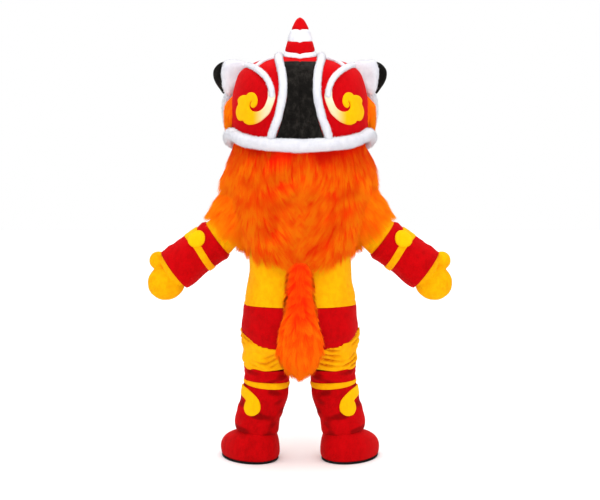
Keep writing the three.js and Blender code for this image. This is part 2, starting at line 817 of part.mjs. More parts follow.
// The seat and both thighs, which end above the red leg bands.
function trousers() {
  const seatTop = (angle) => hipBottom(angle) - GAP / 2;
  const seat = solid(core(body, { from: SEAT.low, to: seatTop, rows: 3, sides: BODY_SIDES }));
  const inSeatSpan = { from: SEAT.lowInside, to: SEAT.highInside, rows: 3, sides: BODY_SIDES };
  const inSeat = solid(core(body, { ...inSeatSpan, out: -SUIT_WALL }));
  const thighSpan = { from: legEdge(LEG_EDGES.bandTop, GAP / 2), to: CROTCH_LEVEL, rows: 4 };
  const thigh = solid(wall(leg, { ...thighSpan, sides: LIMB_SIDES, thick: SUIT_WALL }));
  const inSpan = { from: SEAT.low - 15, to: CROTCH_LEVEL + 8, rows: 2, sides: LIMB_SIDES };
  const inThigh = solid(core(leg, { ...inSpan, out: -SUIT_WALL - 1 }));
  return cutBy(seat.add(bothSides(thigh)), inSeat, bothSides(inThigh));
}

function legRing(lower, upper, rows) {
  const from = legEdge(lower, GAP / 2);
  const to = legEdge(upper, -GAP / 2);
  return wall(leg, { from, to, rows, sides: LIMB_SIDES, thick: SUIT_WALL });
}

const HOOK_ROUTE = [
  [262, 312, 0],
  [246, 306, 52],
  [226, 296, 84],
  [205, 286, 100],
];
const HOOK_BALL = { x: 208, y: 92, z: 257, radius: 38 };

// A flat comma sewn on the lower leg.
function hookMotif() {
  const path = HOOK_ROUTE.map(([x, z, y]) => new THREE.Vector3(x, y, z));
  const stem = solid(tube(path, 19, { steps: 5 }));
  const size = { x: HOOK_BALL.radius, y: 46, z: HOOK_BALL.radius };
  const ball = solid(egg(HOOK_BALL, size, { around: 10 }));
  const span = { from: legEdge(LEG_EDGES.hem), to: legEdge(LEG_EDGES.thinBottom), rows: 3 };
  const outer = core(leg, { ...span, sides: LIMB_SIDES, out: MOTIF });
  const inner = core(leg, { ...span, sides: LIMB_SIDES, out: GAP });
  return stem.add(ball).intersect(solid(outer)).subtract(solid(inner));
}

const CUFF_SPAN = { from: GAP, to: CUFF_LENGTH, rows: 4 };
const CUFF_DISC = { along: 57, radius: 41, turn: 56 };

// The yellow band round the cuff, with a disc on its back.
function cuffBand() {
  const skin = cuffSkin();
  const wide = (a) => 15 + 19 * Math.max(0, Math.cos(rad(a))) ** 2;
  const middle = (a) => 76 - 9 * Math.cos(rad(a));
  const ring = solid(
    wall(skin, {
      from: (a) => middle(a) - wide(a),
      to: (a) => middle(a) + wide(a),
      rows: 1,
      sides: LIMB_SIDES,
      thick: MOTIF,
      out: MOTIF,
    }),
  );
  const at = skin.at(CUFF_DISC.turn, CUFF_DISC.along);
  const { radius } = CUFF_DISC;
  const disc = solid(egg(at, { x: radius, y: radius, z: radius }, { around: 10 }));
  const outer = solid(core(skin, { ...CUFF_SPAN, sides: LIMB_SIDES, out: MOTIF }));
  const inner = solid(core(skin, { ...CUFF_SPAN, sides: LIMB_SIDES, out: GAP }));
  return ring.add(disc.intersect(outer)).subtract(inner);
}

function cuff() {
  const skin = cuffSkin();
  return wall(skin, { ...CUFF_SPAN, sides: LIMB_SIDES, thick: SUIT_WALL });
}

// Wrist sections inside the cuff's end: distance along the forearm, half width, half depth
const WRIST_ROWS = [
  [CUFF_LENGTH - 60, 83, 83],
  [CUFF_LENGTH - 28, 83, 83],
  [CUFF_LENGTH + 4, 83, 80],
  [CUFF_LENGTH + 30, 78, 70],
];
const HAND = { x: 602, y: 0, z: 795, size: { x: 84, y: 58, z: 79 } };
const THUMB = { x: 634, y: -4, z: 890, size: { x: 42, y: 38, z: 42 } };

// A row of a skin that lies straight along the forearm.
function forearmRow(along, half, deep = half) {
  return {
    level: along,
    x: ARM_START.x + along * Math.cos(rad(ARM_SLOPE)),
    z: ARM_START.z - along * Math.sin(rad(ARM_SLOPE)),
    half,
    deep,
    slope: ARM_SLOPE,
  };
}

// A rounded hand, a thumb and a wrist that goes up inside the cuff.
function mittenForm(out, from) {
  const wrist = new Skin(WRIST_ROWS.map(([along, half, deep]) => forearmRow(along, half, deep)));
  const to = CUFF_LENGTH + 30;
  return joined([
    solid(egg(HAND, around(HAND.size, out), { around: 9, down: 6 })),
    solid(egg(THUMB, around(THUMB.size, out), { around: 7, down: 5 })),
    solid(core(wrist, { from, to, rows: 1, sides: LIMB_SIDES, out })),
  ]);
}

function mitten() {
  const span = { from: CUFF_LENGTH - 50, to: CUFF_LENGTH + GAP, rows: 1, sides: LIMB_SIDES };
  const cuffEnd = solid(wall(cuffSkin(), { ...span, thick: SUIT_WALL + 2, out: 1 }));
  const form = mittenForm(0, CUFF_LENGTH - 28);
  return cutBy(form, mittenForm(-MITTEN_WALL, CUFF_LENGTH - 60), cuffEnd);
}

// Boot with its toe turned out, on a flat sole.
class FootSkin extends Skin {
  point(angle, level) {
    const col = (name) => read(this.rows, level, name);
    const turn = rad(FOOT.turnOut);
    const side = col("half") * Math.cos(rad(angle));
    const along = col("long") * Math.sin(rad(angle));
    return new THREE.Vector3(
      col("x") + side * Math.cos(turn) - along * Math.sin(turn),
      col("y") + side * Math.sin(turn) + along * Math.cos(turn),
      level,
    );
  }
}

function boot() {
  const skin = new FootSkin(BOOT_ROWS);
  const floor = SOLE_THICK + GAP;
  const outer = core(skin, { from: floor, to: BOOT_TOP, rows: 6, sides: FOOT_SIDES });
  const inside = { from: floor + BOOT_WALL, to: BOOT_TOP + PAST, rows: 5, sides: FOOT_SIDES };
  const legSpan = { from: legEdge(LEG_EDGES.hem), to: BOOT_TOP + PAST, rows: 2, sides: LIMB_SIDES };
  const hem = wall(leg, { ...legSpan, thick: SUIT_WALL + 2, out: 1 });
  return cutBy(solid(outer), solid(core(skin, { ...inside, out: -BOOT_WALL })), solid(hem));
}

function sole() {
  const rows = [
    { level: 0, x: FOOT.x, y: FOOT.y, long: FOOT.halfLength - 4, half: FOOT.halfWidth - 4 },
    { level: SOLE_THICK, x: FOOT.x, y: FOOT.y, long: FOOT.halfLength, half: FOOT.halfWidth },
  ];
  return core(new FootSkin(rows), { from: 0, to: SOLE_THICK, rows: 1, sides: FOOT_SIDES });
}

function buildSuit() {
  addPiece("jacket", "yellow", jacket());
  addPiece("hip_band", "red", hipBand());
  addPiece("trousers", "yellow", trousers());
  addPair("leg_band", "red", legRing(LEG_EDGES.thinTop, LEG_EDGES.bandTop, 2));
  addPair("thin_band", "yellow", legRing(LEG_EDGES.thinBottom, LEG_EDGES.thinTop, 1));
  addPair("lower_leg", "red", legRing(LEG_EDGES.hem, LEG_EDGES.thinBottom, 3));
  addPair("hook_motif", "yellow", hookMotif());
  addPair("cuff", "red", cuff());
  addPair("cuff_band", "yellow", cuffBand());
  addPair("mitten", "yellow", mitten());
  addPair("boot", "red", boot());
  addPair("sole", "sole", sole());
}

// Mane and tail

// Rows of locks round the mane: level of roots, length, angles between which they lie, number
const MANE_LOCKS = [
  { root: 1320, drop: 150, from: 0, to: 180, count: 4 },
  { root: 1150, drop: 150, from: 10, to: 170, count: 4 },
  { root: 960, drop: 96, from: 0, to: 180, count: 6 },
  { root: 970, drop: 100, from: 210, to: 330, count: 4 },
];
const MANE_THICK = 22;
const MANE_HEM = { back: 900, side: 930 };
const LOCK_WIDTH = 128;
const FUR_OVER_ARM = 26;

function maneLocks() {
  const all = [];
  for (const { root, drop, from, to, count } of MANE_LOCKS) {
    for (let i = 0; i < count; i++) {
      const angle = from + ((to - from) * (i + 0.5)) / count;
      const start = maneSkin.at(angle, root, -10);
      const end = maneSkin.at(angle + (i % 2 ? 3 : -3), root - drop, 10 + 8 * (i % 2));
      const out = start.clone().setZ(0).normalize();
      all.push(lock(start, end, LOCK_WIDTH, out));
    }
  }
  return all;
}

// A cape of fur with a sleeve of fur over each upper arm, hollow underneath.
function mane(tailSpace) {
  const hem = (a) => MANE_HEM.side + (MANE_HEM.back - MANE_HEM.side) * Math.abs(Math.sin(rad(a)));
  const underRoll = (a) => rimHeight(a) - 4;
  const cape = solid(core(maneSkin, { from: hem, to: underRoll, rows: 4, sides: BODY_SIDES }));
  const above = (a) => rimHeight(a) + PAST;
  const within = { from: MANE_HEM.back - 2 * PAST, to: above, rows: 4, sides: BODY_SIDES };
  const inside = solid(core(maneSkin, { ...within, out: -MANE_THICK }));
  const overArms = sleeveCores(FUR_OVER_ARM, SLEEVE_END - 6).subtract(inside);
  const cuffSpan = { ...CUFF_SPAN, from: 0, sides: LIMB_SIDES, out: 1 };
  const cuffs = bothSides(solid(core(cuffSkin(), cuffSpan)));
  const suit = sleeveCores(GAP, SLEEVE_END).add(torsoCore(GAP, hipTop, NECK_LEVEL));
  return cutBy(joined([cape, overArms, ...maneLocks()]), inside, suit, cuffs, rollSpace, tailSpace);
}

// The tail is a long lock of fur, with smaller ones lying over it in pairs.
function tailForm(out) {
  const skin = new Skin(TAIL_ROWS);
  const [from, to] = [TAIL_ROWS[0].level, TAIL_ROWS[TAIL_ROWS.length - 1].level];
  return solid(core(skin, { from, to, rows: 8, sides: 8, out, top: 8, bottom: 4 }));
}

const TAIL_LOCKS = { pairs: 5, first: 840, pitch: 84, drop: 90, width: 60 };

function tail() {
  const { pairs, first, pitch, drop, width } = TAIL_LOCKS;
  const locks = [];
  for (let i = 0; i < pairs; i++) {
    const level = first - i * pitch;
    const y = read(TAIL_ROWS, level, "y") + read(TAIL_ROWS, level, "deep") * 0.6;
    const half = read(TAIL_ROWS, level - drop, "half");
    for (const side of [-1, 1]) {
      const root = new THREE.Vector3(side * 10, y, level);
      const tip = new THREE.Vector3(side * half, y - 12, level - drop);
      locks.push(lock(root, tip, width, new THREE.Vector3(side * 0.4, 1, 0)));
    }
  }
  return cutBy(joined([tailForm(0), ...locks]), torsoCore(GAP, hipTop, NECK_LEVEL));
}

buildHead();
buildHorn();
buildSuit();
addPiece("mane", "orange", mane(tailForm(GAP)));
addPiece("tail", "orange", tail());

export default costume;
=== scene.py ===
"""A lion dance costume in its worn form, seen from behind.

It has a padded plush head with a horn and ears, a long fur mane and tail, a striped plush suit,
mittens and boots. Lengths in the tables are millimetres above the floor. The lion faces -Y and its
left side is +X. Meshes are in metres, from where the suit hangs on the wearer's shoulders.
"""

import logging
import math
from dataclasses import dataclass, field
from enum import Enum
from typing import Any, Callable, Iterable, Sequence

import bmesh
import bpy
import numpy as np
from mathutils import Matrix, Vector
from mathutils.geometry import delaunay_2d_cdt


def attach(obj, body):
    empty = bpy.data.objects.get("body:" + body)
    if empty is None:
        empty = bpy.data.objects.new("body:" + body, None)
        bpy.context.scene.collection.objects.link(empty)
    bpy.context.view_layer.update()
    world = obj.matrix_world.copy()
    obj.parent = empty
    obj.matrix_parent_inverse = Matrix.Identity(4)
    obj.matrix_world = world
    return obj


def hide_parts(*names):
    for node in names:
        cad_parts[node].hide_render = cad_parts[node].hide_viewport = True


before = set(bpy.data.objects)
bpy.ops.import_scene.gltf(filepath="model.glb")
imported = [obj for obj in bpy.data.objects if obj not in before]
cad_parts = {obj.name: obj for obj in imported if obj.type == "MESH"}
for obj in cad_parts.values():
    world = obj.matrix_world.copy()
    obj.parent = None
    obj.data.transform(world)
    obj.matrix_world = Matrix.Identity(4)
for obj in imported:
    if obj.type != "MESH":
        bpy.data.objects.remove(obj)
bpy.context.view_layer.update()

LOG = logging.getLogger("costume")
BODY = "root"
METRE = 1000.0
YOKE_HEIGHT = 1300.0
RNG_SEED = 41
END_STEPS = (0.55, 0.85)  # where the rings of a roll's rounded end lie, as parts of its bulge
CUFF_START = (379.5, 988.5)  # x and height of the forearm's middle where the sleeve ends
ARM_SLOPE = 35.9  # degrees that the arms hang below level

Field = Callable[[np.ndarray], np.ndarray]
Edge = float | Callable[[np.ndarray], np.ndarray]
Color = tuple[float, float, float]


class Slot(Enum):
    """The record's material slots."""

    RED = "red_plush"
    YELLOW = "yellow_plush"
    WHITE = "white_plush"
    BLACK = "black_plush"
    FUR = "orange_fur"
    EYE = "eye_white"
    PUPIL = "pupil_black"
    SOLE = "black_sole"


class Side(Enum):
    """The lion's own left and right, as the sign of x."""

    LEFT = 1
    RIGHT = -1

    @property
    def word(self) -> str:
        """The side's word in a piece's name."""
        return self.name.lower()


# Numbers


def smooth(low: float, high: float, value: np.ndarray) -> np.ndarray:
    """Rises smoothly from 0 at low to 1 at high.

    Args:
        low: The value that gives 0.
        high: The value that gives 1, which may be below low.
        value: The values to be read.

    Returns:
        A number from 0 to 1 for each value.
    """
    part = np.clip((value - low) / (high - low), 0, 1)
    return part * part * (3 - 2 * part)


def bell(centre: float, width: float, value: np.ndarray) -> np.ndarray:
    """A bump of height 1 at a centre, that fades over a width."""
    return np.exp(-(((value - centre) / width) ** 2))


def unit(vectors: np.ndarray) -> np.ndarray:
    """The vectors made one long."""
    return vectors / np.maximum(np.linalg.norm(vectors, axis=-1, keepdims=True), 1e-9)


def lumps(points: np.ndarray, size: float, seed: int, waves: int = 9) -> np.ndarray:
    """Soft uneven lumps all through space, from waves in random directions.

    Args:
        points: Places in millimetres.
        size: Width of a lump in millimetres.
        seed: Which set of lumps.
        waves: Number of waves that are summed.

    Returns:
        A number of about -1 to 1 for each place.
    """
    rng = np.random.default_rng(seed)
    ways = unit(rng.normal(size=(waves, 3))) * (math.pi / size)
    ways *= rng.uniform(0.7, 1.4, (waves, 1))
    phases = rng.uniform(0, 2 * math.pi, waves)
    return np.sin(points @ ways.T + phases).sum(axis=-1) / math.sqrt(waves) / 1.2


def at_angle(edge: Edge, angle: np.ndarray) -> np.ndarray:
    """An edge's level at each angle."""
    return edge(angle) if callable(edge) else np.full(angle.shape, float(edge))


def srgb(red: int, green: int, blue: int) -> Color:
    """A screen colour of 0 to 255 as the linear colour that a shader takes."""
    parts = [value / 255 for value in (red, green, blue)]
    return tuple(p / 12.92 if p < 0.04 else ((p + 0.055) / 1.055) ** 2.4 for p in parts)


# Forms


@dataclass
class Form:
    """Points in millimetres above the floor, faces, and numbers that a material reads."""

    points: np.ndarray
    faces: list[tuple[int, ...]]
    marks: dict[str, np.ndarray] = field(default_factory=dict)

    def mirrored(self) -> "Form":
        """The same form on the other side of the middle plane."""
        faces = [face[::-1] for face in self.faces]
        turned = {k: v * (-1, 1, 1) if v.ndim > 1 else v for k, v in self.marks.items()}
        return Form(self.points * (-1, 1, 1), faces, turned)

    def on(self, side: Side) -> "Form":
        """The form, made for the left, on a side."""
        return self if side is Side.LEFT else self.mirrored()

    def plus(self, *others: "Form") -> "Form":
        """This form and others as one, with the points of each kept."""
        points = list(self.points)
        faces = list(self.faces)
        for other in others:
            start = len(points)
            points.extend(other.points)
            faces.extend(tuple(start + i for i in face) for face in other.faces)
        return Form(np.array(points), faces)

    def outward(self) -> "Form":
        """The form with its faces turned to point out."""
        volume = 0.0
        for face in self.faces:
            a, b, c = self.points[face[0]], self.points[face[1]], self.points[face[2]]
            volume += float(np.dot(a, np.cross(b, c)))
            if len(face) == 4:
                volume += float(np.dot(a, np.cross(c, self.points[face[3]])))
        if volume < 0:
            self.faces = [face[::-1] for face in self.faces]
        return self

    def mesh(self, name: str) -> bpy.types.Mesh:
        """The form as a Blender mesh in metres, smooth, with its marks as attributes."""
        data = bpy.data.meshes.new(name)
        places = (self.points - (0, 0, YOKE_HEIGHT)) / METRE
        data.from_pydata(places.tolist(), [], self.faces)
        for mark, values in self.marks.items():
            kind = "FLOAT_VECTOR" if values.ndim > 1 else "FLOAT"
            layer = data.attributes.new(mark, kind, "POINT")
            key = "vector" if values.ndim > 1 else "value"
            layer.data.foreach_set(key, values.astype(np.float32).ravel())
        data.polygons.foreach_set("use_smooth", [True] * len(data.polygons))
        data.update()
        return data

    def normals(self) -> np.ndarray:
        """The direction out of the form at each point."""
        data = self.mesh("for_normals")
        out = np.zeros(len(data.vertices) * 3, np.float32)
        data.vertices.foreach_get("normal", out)
        bpy.data.meshes.remove(data)
        return out.reshape(-1, 3).astype(float)

    def pushed(self, relief: Field) -> "Form":
        """The form with its points moved out by what a relief gives for them."""
        points = self.points + self.normals() * relief(self.points)[:, None]
        return Form(points, self.faces, self.marks)


def stack(rings: np.ndarray, looped: bool = False, poles: bool = False) -> Form:
    """Joins rings of points into one skin.

    Args:
        rings: Points in an array of rings, points round a ring and coordinates.
        looped: The last ring joins the first, as on a hollow wall.
        poles: Each end is closed to a point.

    Returns:
        The form, with its faces pointing out if it is closed.
    """
    count, sides = rings.shape[:2]
    points = rings.reshape(-1, 3)
    faces: list[tuple[int, ...]] = []
    for j in range(count if looped else count - 1):
        a, b = j * sides, (j + 1) % count * sides
        for i in range(sides):
            n = (i + 1) % sides
            faces.append((a + i, a + n, b + n, b + i))
    if poles:
        ends = np.array([rings[0].mean(axis=0), rings[-1].mean(axis=0)])
        first = len(points)
        top = (count - 1) * sides
        points = np.vstack([points, ends])
        for i in range(sides):
            n = (i + 1) % sides
            faces.append((first, n, i))
            faces.append((first + 1, top + i, top + n))
    form = Form(points, faces)
    return form.outward() if looped or poles else form


def sheet_faces(rows: int, width: int) -> list[tuple[int, ...]]:
    """Faces of an open sheet of points in rows."""
    corners = [j * width + i for j in range(rows - 1) for i in range(width - 1)]
    return [(a, a + 1, a + width + 1, a + width) for a in corners]


def root_marks(form: Form, dye_and_shade: float) -> dict[str, np.ndarray]:
    """Fur marks for a backing, which shows only between strands."""
    # Painted shade: near the dark root colour, with more red by the amount given
    plain = {"along": 0.3, "tint": 0.5, "tuft": 0.5, "dye_and_shade": dye_and_shade}
    return {name: np.full(len(form.points), value) for name, value in plain.items()}


class Table:
    """Sections at rising levels, with a smooth curve through each column."""

    def __init__(self, names: str, rows: Sequence[Sequence[float]]) -> None:
        """Keeps the columns by name; the first one is the level."""
        self.columns = dict(zip(names.split(), np.array(rows, float).T))
        self.levels = self.columns["level"]

    def read(self, name: str, level: np.ndarray, fallback: float = 0.0) -> np.ndarray:
        """Reads a column at levels between its rows.

        Args:
            name: The column.
            level: Levels, held to those of the table.
            fallback: What a column that isn't there gives.

        Returns:
            A value for each level.
        """
        level = np.asarray(level, float)
        if name not in self.columns:
            return np.full(level.shape, fallback)
        value, at = self.columns[name], self.levels
        before = np.maximum(np.arange(len(at)) - 1, 0)
        after = np.minimum(np.arange(len(at)) + 1, len(at) - 1)
        slope = (value[after] - value[before]) / (at[after] - at[before])
        i = np.clip(np.searchsorted(at, level, "right") - 1, 0, len(at) - 2)
        span = at[i + 1] - at[i]
        t = np.clip((level - at[i]) / span, 0, 1)
        rest = 1 - t
        return (
            value[i] * (1 + 2 * t) * rest * rest
            + slope[i] * span * t * rest * rest
            + value[i + 1] * t * t * (3 - 2 * t)
            - slope[i + 1] * span * t * t * rest
        )


class Skin:
    """A surface through sections. A point on it has an angle round it and a level."""

    STEP = 1.5

    def __init__(self, table: Table, roundness: float = 2.0) -> None:
        """Keeps the sections and how square they are, with 2 for an ellipse."""
        self.table = table
        self.roundness = roundness

    def point(self, angle: np.ndarray, level: np.ndarray) -> np.ndarray:
        """The places at angles in degrees, with 0 at +X and 90 at the back, and at levels."""
        read = self.table.read
        turn = np.radians(angle)
        c, s = np.cos(turn), np.sin(turn)
        bend = 2 / self.roundness
        half = read("half", level)
        if "back" in self.table.columns:
            deep = np.where(s > 0, read("back", level), read("front", level))
        elif "deep" in self.table.columns:
            deep = read("deep", level)
        else:
            deep = half
        across = half * np.sign(c) * np.abs(c) ** bend
        along = deep * np.sign(s) * np.abs(s) ** bend
        tip = np.radians(read("tip", level))
        slope = np.radians(read("slope", level, 90))
        height = read("z", level) if "z" in self.table.columns else np.asarray(level, float)
        return np.stack(
            [
                read("x", level) + across * np.sin(slope),
                read("y", level) + along * np.cos(tip),
                height + across * np.cos(slope) - along * np.sin(tip),
            ],
            axis=-1,
        )

    def normal(self, angle: np.ndarray, level: np.ndarray) -> np.ndarray:
        """The direction out of the surface at each place."""
        low, high = self.table.levels[0], self.table.levels[-1]
        above = np.minimum(level + self.STEP, np.maximum(high, level))
        below = np.maximum(level - self.STEP, np.minimum(low, level))
        around = self.point(angle + self.STEP, level) - self.point(angle - self.STEP, level)
        up = self.point(angle, above) - self.point(angle, below)
        out = unit(np.cross(around, up))
        middle = (self.point(angle * 0, level) + self.point(angle * 0 + 180, level)) / 2
        away = self.point(angle, level) - middle
        return out * np.where((out * away).sum(axis=-1, keepdims=True) < 0, -1, 1)

    def at(self, angle: np.ndarray, level: np.ndarray, out: Any = 0.0) -> np.ndarray:
        """The places moved out of the surface by a distance."""
        angle, level = np.broadcast_arrays(np.asarray(angle, float), np.asarray(level, float))
        return self.point(angle, level) + self.normal(angle, level) * np.asarray(out)[..., None]

    def grid(self, low: Edge, high: Edge, rows: int, sides: int) -> tuple[np.ndarray, np.ndarray]:
        """Angles and levels of even rows between two edges."""
        angle = np.arange(sides) / sides * 360
        part = np.linspace(0, 1, rows + 1)[:, None]
        first, last = at_angle(low, angle), at_angle(high, angle)
        return np.broadcast_to(angle, (rows + 1, sides)), first + (last - first) * part


@dataclass(frozen=True)
class Cloth:
    """How a wall of padded cloth is made up."""

    thick: float = 9.0
    rows: int = 24
    sides: int = 96
    seam: float = 3.0
    seam_width: float = 7.0
    lump: float = 1.2
    lump_size: float = 60.0
    lip: float = 1.0

    def wall(self, skin: Skin, low: Edge, high: Edge, relief: Field | None = None) -> Form:
        """A hollow wall along a skin, open at both ends, with its edges drawn in at the seams.

        Args:
            skin: The surface that it follows.
            low: Level of the first edge.
            high: Level of the last edge.
            relief: How far the cloth stands out at each place.

        Returns:
            The closed form of the wall.
        """
        angle, level = skin.grid(low, high, self.rows, self.sides)
        base, out = skin.point(angle, level), skin.normal(angle, level)
        length = np.abs(level[-1] - level[0])
        from_first = np.abs(level - level[0])
        from_last = length - from_first
        rise = -self.seam * np.exp(-from_first / self.seam_width)
        rise = rise - self.seam * np.exp(-from_last / self.seam_width)
        rise = rise + self.lump * lumps(base, self.lump_size, 3)
        if relief is not None:
            rise = rise + relief(base)
        outer = base + out * rise[..., None]
        inner = base + out * (rise[..., None] * 0.3 - self.thick)
        along = unit(base[1] - base[0]), unit(base[-1] - base[-2])
        start = (outer[0] + inner[0]) / 2 - along[0] * self.lip
        end = (outer[-1] + inner[-1]) / 2 + along[1] * self.lip
        rings = np.concatenate([outer, end[None], inner[::-1], start[None]])
        return stack(rings, looped=True)


def core(skin: Skin, low: Edge, high: Edge, rows: int, sides: int, out: float = 0.0) -> Form:
    """The whole space inside a skin, closed at both ends."""
    angle, level = skin.grid(low, high, rows, sides)
    return stack(skin.at(angle, level, np.full(angle.shape, out)), poles=True)


def ball(centre: Sequence[float], radii: Sequence[float], around: int = 32, down: int = 20) -> Form:
    """An egg with three half sizes."""
    turn = np.arange(around) / around * 2 * math.pi
    fall = (np.arange(1, down) / down * math.pi)[::-1, None]
    rings = np.stack(
        [np.sin(fall) * np.cos(turn), np.sin(fall) * np.sin(turn), np.cos(fall) + 0 * turn],
        axis=-1,
    )
    form = stack(rings * radii + centre, poles=True)
    form.points[-2:] = np.array([(0, 0, -1), (0, 0, 1)]) * radii + centre
    return form


def even_path(places: np.ndarray, count: int) -> np.ndarray:
    """A smooth line through places, read at even steps."""
    steps = np.linalg.norm(np.diff(places, axis=0), axis=1)
    length = np.concatenate([[0], np.cumsum(steps)])
    names = ["a", "b", "c"][: places.shape[1]]
    table = Table("level " + " ".join(names), np.column_stack([length, places]))
    level = np.linspace(0, length[-1], count)
    return np.stack([table.read(name, level) for name in names], axis=-1)


def tube(path: np.ndarray, radius: Any, sides: int = 20, ends: float = 0.6) -> Form:
    """A stuffed roll along a path, with rounded ends.

    Args:
        path: Places of its centre line.
        radius: Its radius, or one for each place.
        sides: Points round it.
        ends: How far its ends bulge, as a part of the radius.

    Returns:
        The closed form.
    """
    radius = np.broadcast_to(np.asarray(radius, float), (len(path),))
    way = unit(np.gradient(path, axis=0))
    across = unit(np.cross(way[0], (0.3, 0.2, 1.0)))
    turn = np.arange(sides) / sides * 2 * math.pi
    rings = []
    for place, ahead, size in zip(path, way, radius):
        across = unit(across - ahead * np.dot(across, ahead))
        other = np.cross(ahead, across)
        spoke = across * np.cos(turn)[:, None] + other * np.sin(turn)[:, None]
        rings.append(place + spoke * size)
    for model, t in zip(rings[:2], END_STEPS):
        size, push = math.sqrt(1 - t * t), ends * t
        before = path[0] - way[0] * push * radius[0]
        rings.insert(0, before + unit(model - path[0]) * size * radius[0])
        beyond = path[-1] + way[-1] * push * radius[-1]
        rings.append(beyond + unit(rings[-1] - path[-1]) * size * radius[-1])
    return stack(np.array(rings), poles=True)


def applique(
    outline: np.ndarray,
    place: Callable[[np.ndarray, np.ndarray, np.ndarray], np.ndarray],
    thick: float,
    edge: float = 7.0,
    spacing: float = 7.0,
    under: float = 2.0,
) -> Form:
    """A padded piece cut to an outline and sewn flat on a surface.

    Args:
        outline: Corners of its cut, in the surface's own two coordinates.
        place: Gives the places for two coordinates and a height off the surface.
        thick: How far it stands off the surface.
        edge: Width of its rounded edge.
        spacing: Distance between its inner points.
        under: How far it goes below the surface.

    Returns:
        The closed form, with its distance from the edge as the mark "inset".
    """
    low, high = outline.min(axis=0), outline.max(axis=0)
    xs, ys = (np.arange(low[k] + spacing / 2, high[k], spacing) for k in (0, 1))
    inner = np.stack(np.meshgrid(xs, ys), axis=-1).reshape(-1, 2)
    gap = edge_distance(inner, outline)
    inner = inner[inside(inner, outline) & (gap > spacing * 0.35)]
    rim = inset_ring(outline, edge * 0.3)
    rim = rim[inside(rim, outline) & (edge_distance(rim, outline) > edge * 0.2)]
    flat = np.vstack([outline, rim, inner])
    loop = [list(range(len(outline)))]
    flat_points, _, faces, *_ = delaunay_2d_cdt([Vector(p) for p in flat], [], loop, 1, 1e-5)
    flat = np.array([tuple(p) for p in flat_points])
    distance = edge_distance(flat, outline)
    height = thick * np.sqrt(1 - (1 - np.clip(distance / edge, 0, 1)) ** 2)
    top = place(flat[:, 0], flat[:, 1], height)
    bottom = place(flat[:, 0], flat[:, 1], np.full(len(flat), -under))
    count = len(flat)
    all_faces = [tuple(f) for f in faces] + [tuple(count + i for i in f[::-1]) for f in faces]
    used = {(f[i], f[(i + 1) % len(f)]) for f in faces for i in range(len(f))}
    all_faces += [(b, a, count + a, count + b) for a, b in used if (b, a) not in used]
    marks = {"inset": np.concatenate([distance, distance])}
    return Form(np.vstack([top, bottom]), all_faces, marks).outward()


def edge_distance(points: np.ndarray, outline: np.ndarray) -> np.ndarray:
    """The distance of flat points from a closed outline."""
    a = outline[None]
    ab = np.roll(outline, -1, axis=0)[None] - a
    ap = points[:, None] - a
    part = np.clip((ap * ab).sum(-1) / np.maximum((ab * ab).sum(-1), 1e-9), 0, 1)
    return np.linalg.norm(ap - ab * part[..., None], axis=-1).min(axis=1)


def inside(points: np.ndarray, outline: np.ndarray) -> np.ndarray:
    """Which flat points lie inside a closed outline."""
    x, y = points[:, :1], points[:, 1:]
    ax, ay = outline.T
    bx, by = np.roll(outline, -1, axis=0).T
    crosses = (ay > y) != (by > y)
    rise = np.where(by == ay, 1e-9, by - ay)
    return (crosses & (x < (bx - ax) * (y - ay) / rise + ax)).sum(axis=1) % 2 == 1


def inset_ring(outline: np.ndarray, distance: float) -> np.ndarray:
    """The outline's corners moved inwards."""
    way = unit(np.roll(outline, -1, axis=0) - np.roll(outline, 1, axis=0))
    area = np.cross(outline, np.roll(outline, -1, axis=0)).sum()
    left = np.stack([-way[:, 1], way[:, 0]], axis=-1) * (1 if area > 0 else -1)
    return outline + left * distance


def closed_curve(corners: Sequence[Sequence[float]], spacing: float = 4.0) -> np.ndarray:
    """A smooth closed outline through corners."""
    loop = np.array(corners, float)
    wrapped = np.vstack([loop[-3:], loop, loop[:4]])
    steps = np.linalg.norm(np.diff(wrapped, axis=0), axis=1)
    length = np.concatenate([[0], np.cumsum(steps)])
    table = Table("level a b", np.column_stack([length, wrapped]))
    first, last = length[3], length[3 + len(loop)]
    level = np.linspace(first, last, max(12, int((last - first) / spacing)), endpoint=False)
    return np.stack([table.read("a", level), table.read("b", level)], axis=-1)


def evaluated(form: Form, *steps: tuple[str, dict[str, Any]], cutter: Form | None = None) -> Form:
    """Runs Blender modifiers on a form and gives back the result.

    Args:
        form: The form to change.
        steps: Modifier types with their settings, in metres.
        cutter: A form that Boolean steps take away.

    Returns:
        The changed form.
    """
    collection = bpy.context.scene.collection
    thing = bpy.data.objects.new("in_work", form.mesh("in_work"))
    collection.objects.link(thing)
    tool = None
    if cutter is not None:
        tool = bpy.data.objects.new("cutter", cutter.mesh("cutter"))
        collection.objects.link(tool)
    for kind, settings in steps:
        modifier = thing.modifiers.new(kind.lower(), kind)
        for key, value in settings.items():
            setattr(modifier, key, value)
        if kind == "BOOLEAN":
            modifier.object = tool
    graph = bpy.context.evaluated_depsgraph_get()
    data = bpy.data.meshes.new_from_object(thing.evaluated_get(graph))
    places = np.zeros(len(data.vertices) * 3, np.float32)
    data.vertices.foreach_get("co", places)
    points = places.reshape(-1, 3).astype(float) * METRE + (0, 0, YOKE_HEIGHT)
    faces = [tuple(p.vertices) for p in data.polygons]
    for leftover in filter(None, (thing, tool)):
        old = leftover.data
        bpy.data.objects.remove(leftover)
        bpy.data.meshes.remove(old)
    bpy.data.meshes.remove(data)
    return Form(points, faces)


def blended(forms: Sequence[Form], voxel: float = 6.0, rounds: int = 10) -> Form:
    """Joins closed forms into one soft form, as cloth runs from one into the next."""
    return evaluated(
        forms[0].plus(*forms[1:]),
        ("REMESH", {"mode": "VOXEL", "voxel_size": voxel / METRE}),
        ("SMOOTH", {"factor": 0.5, "iterations": rounds}),
    )


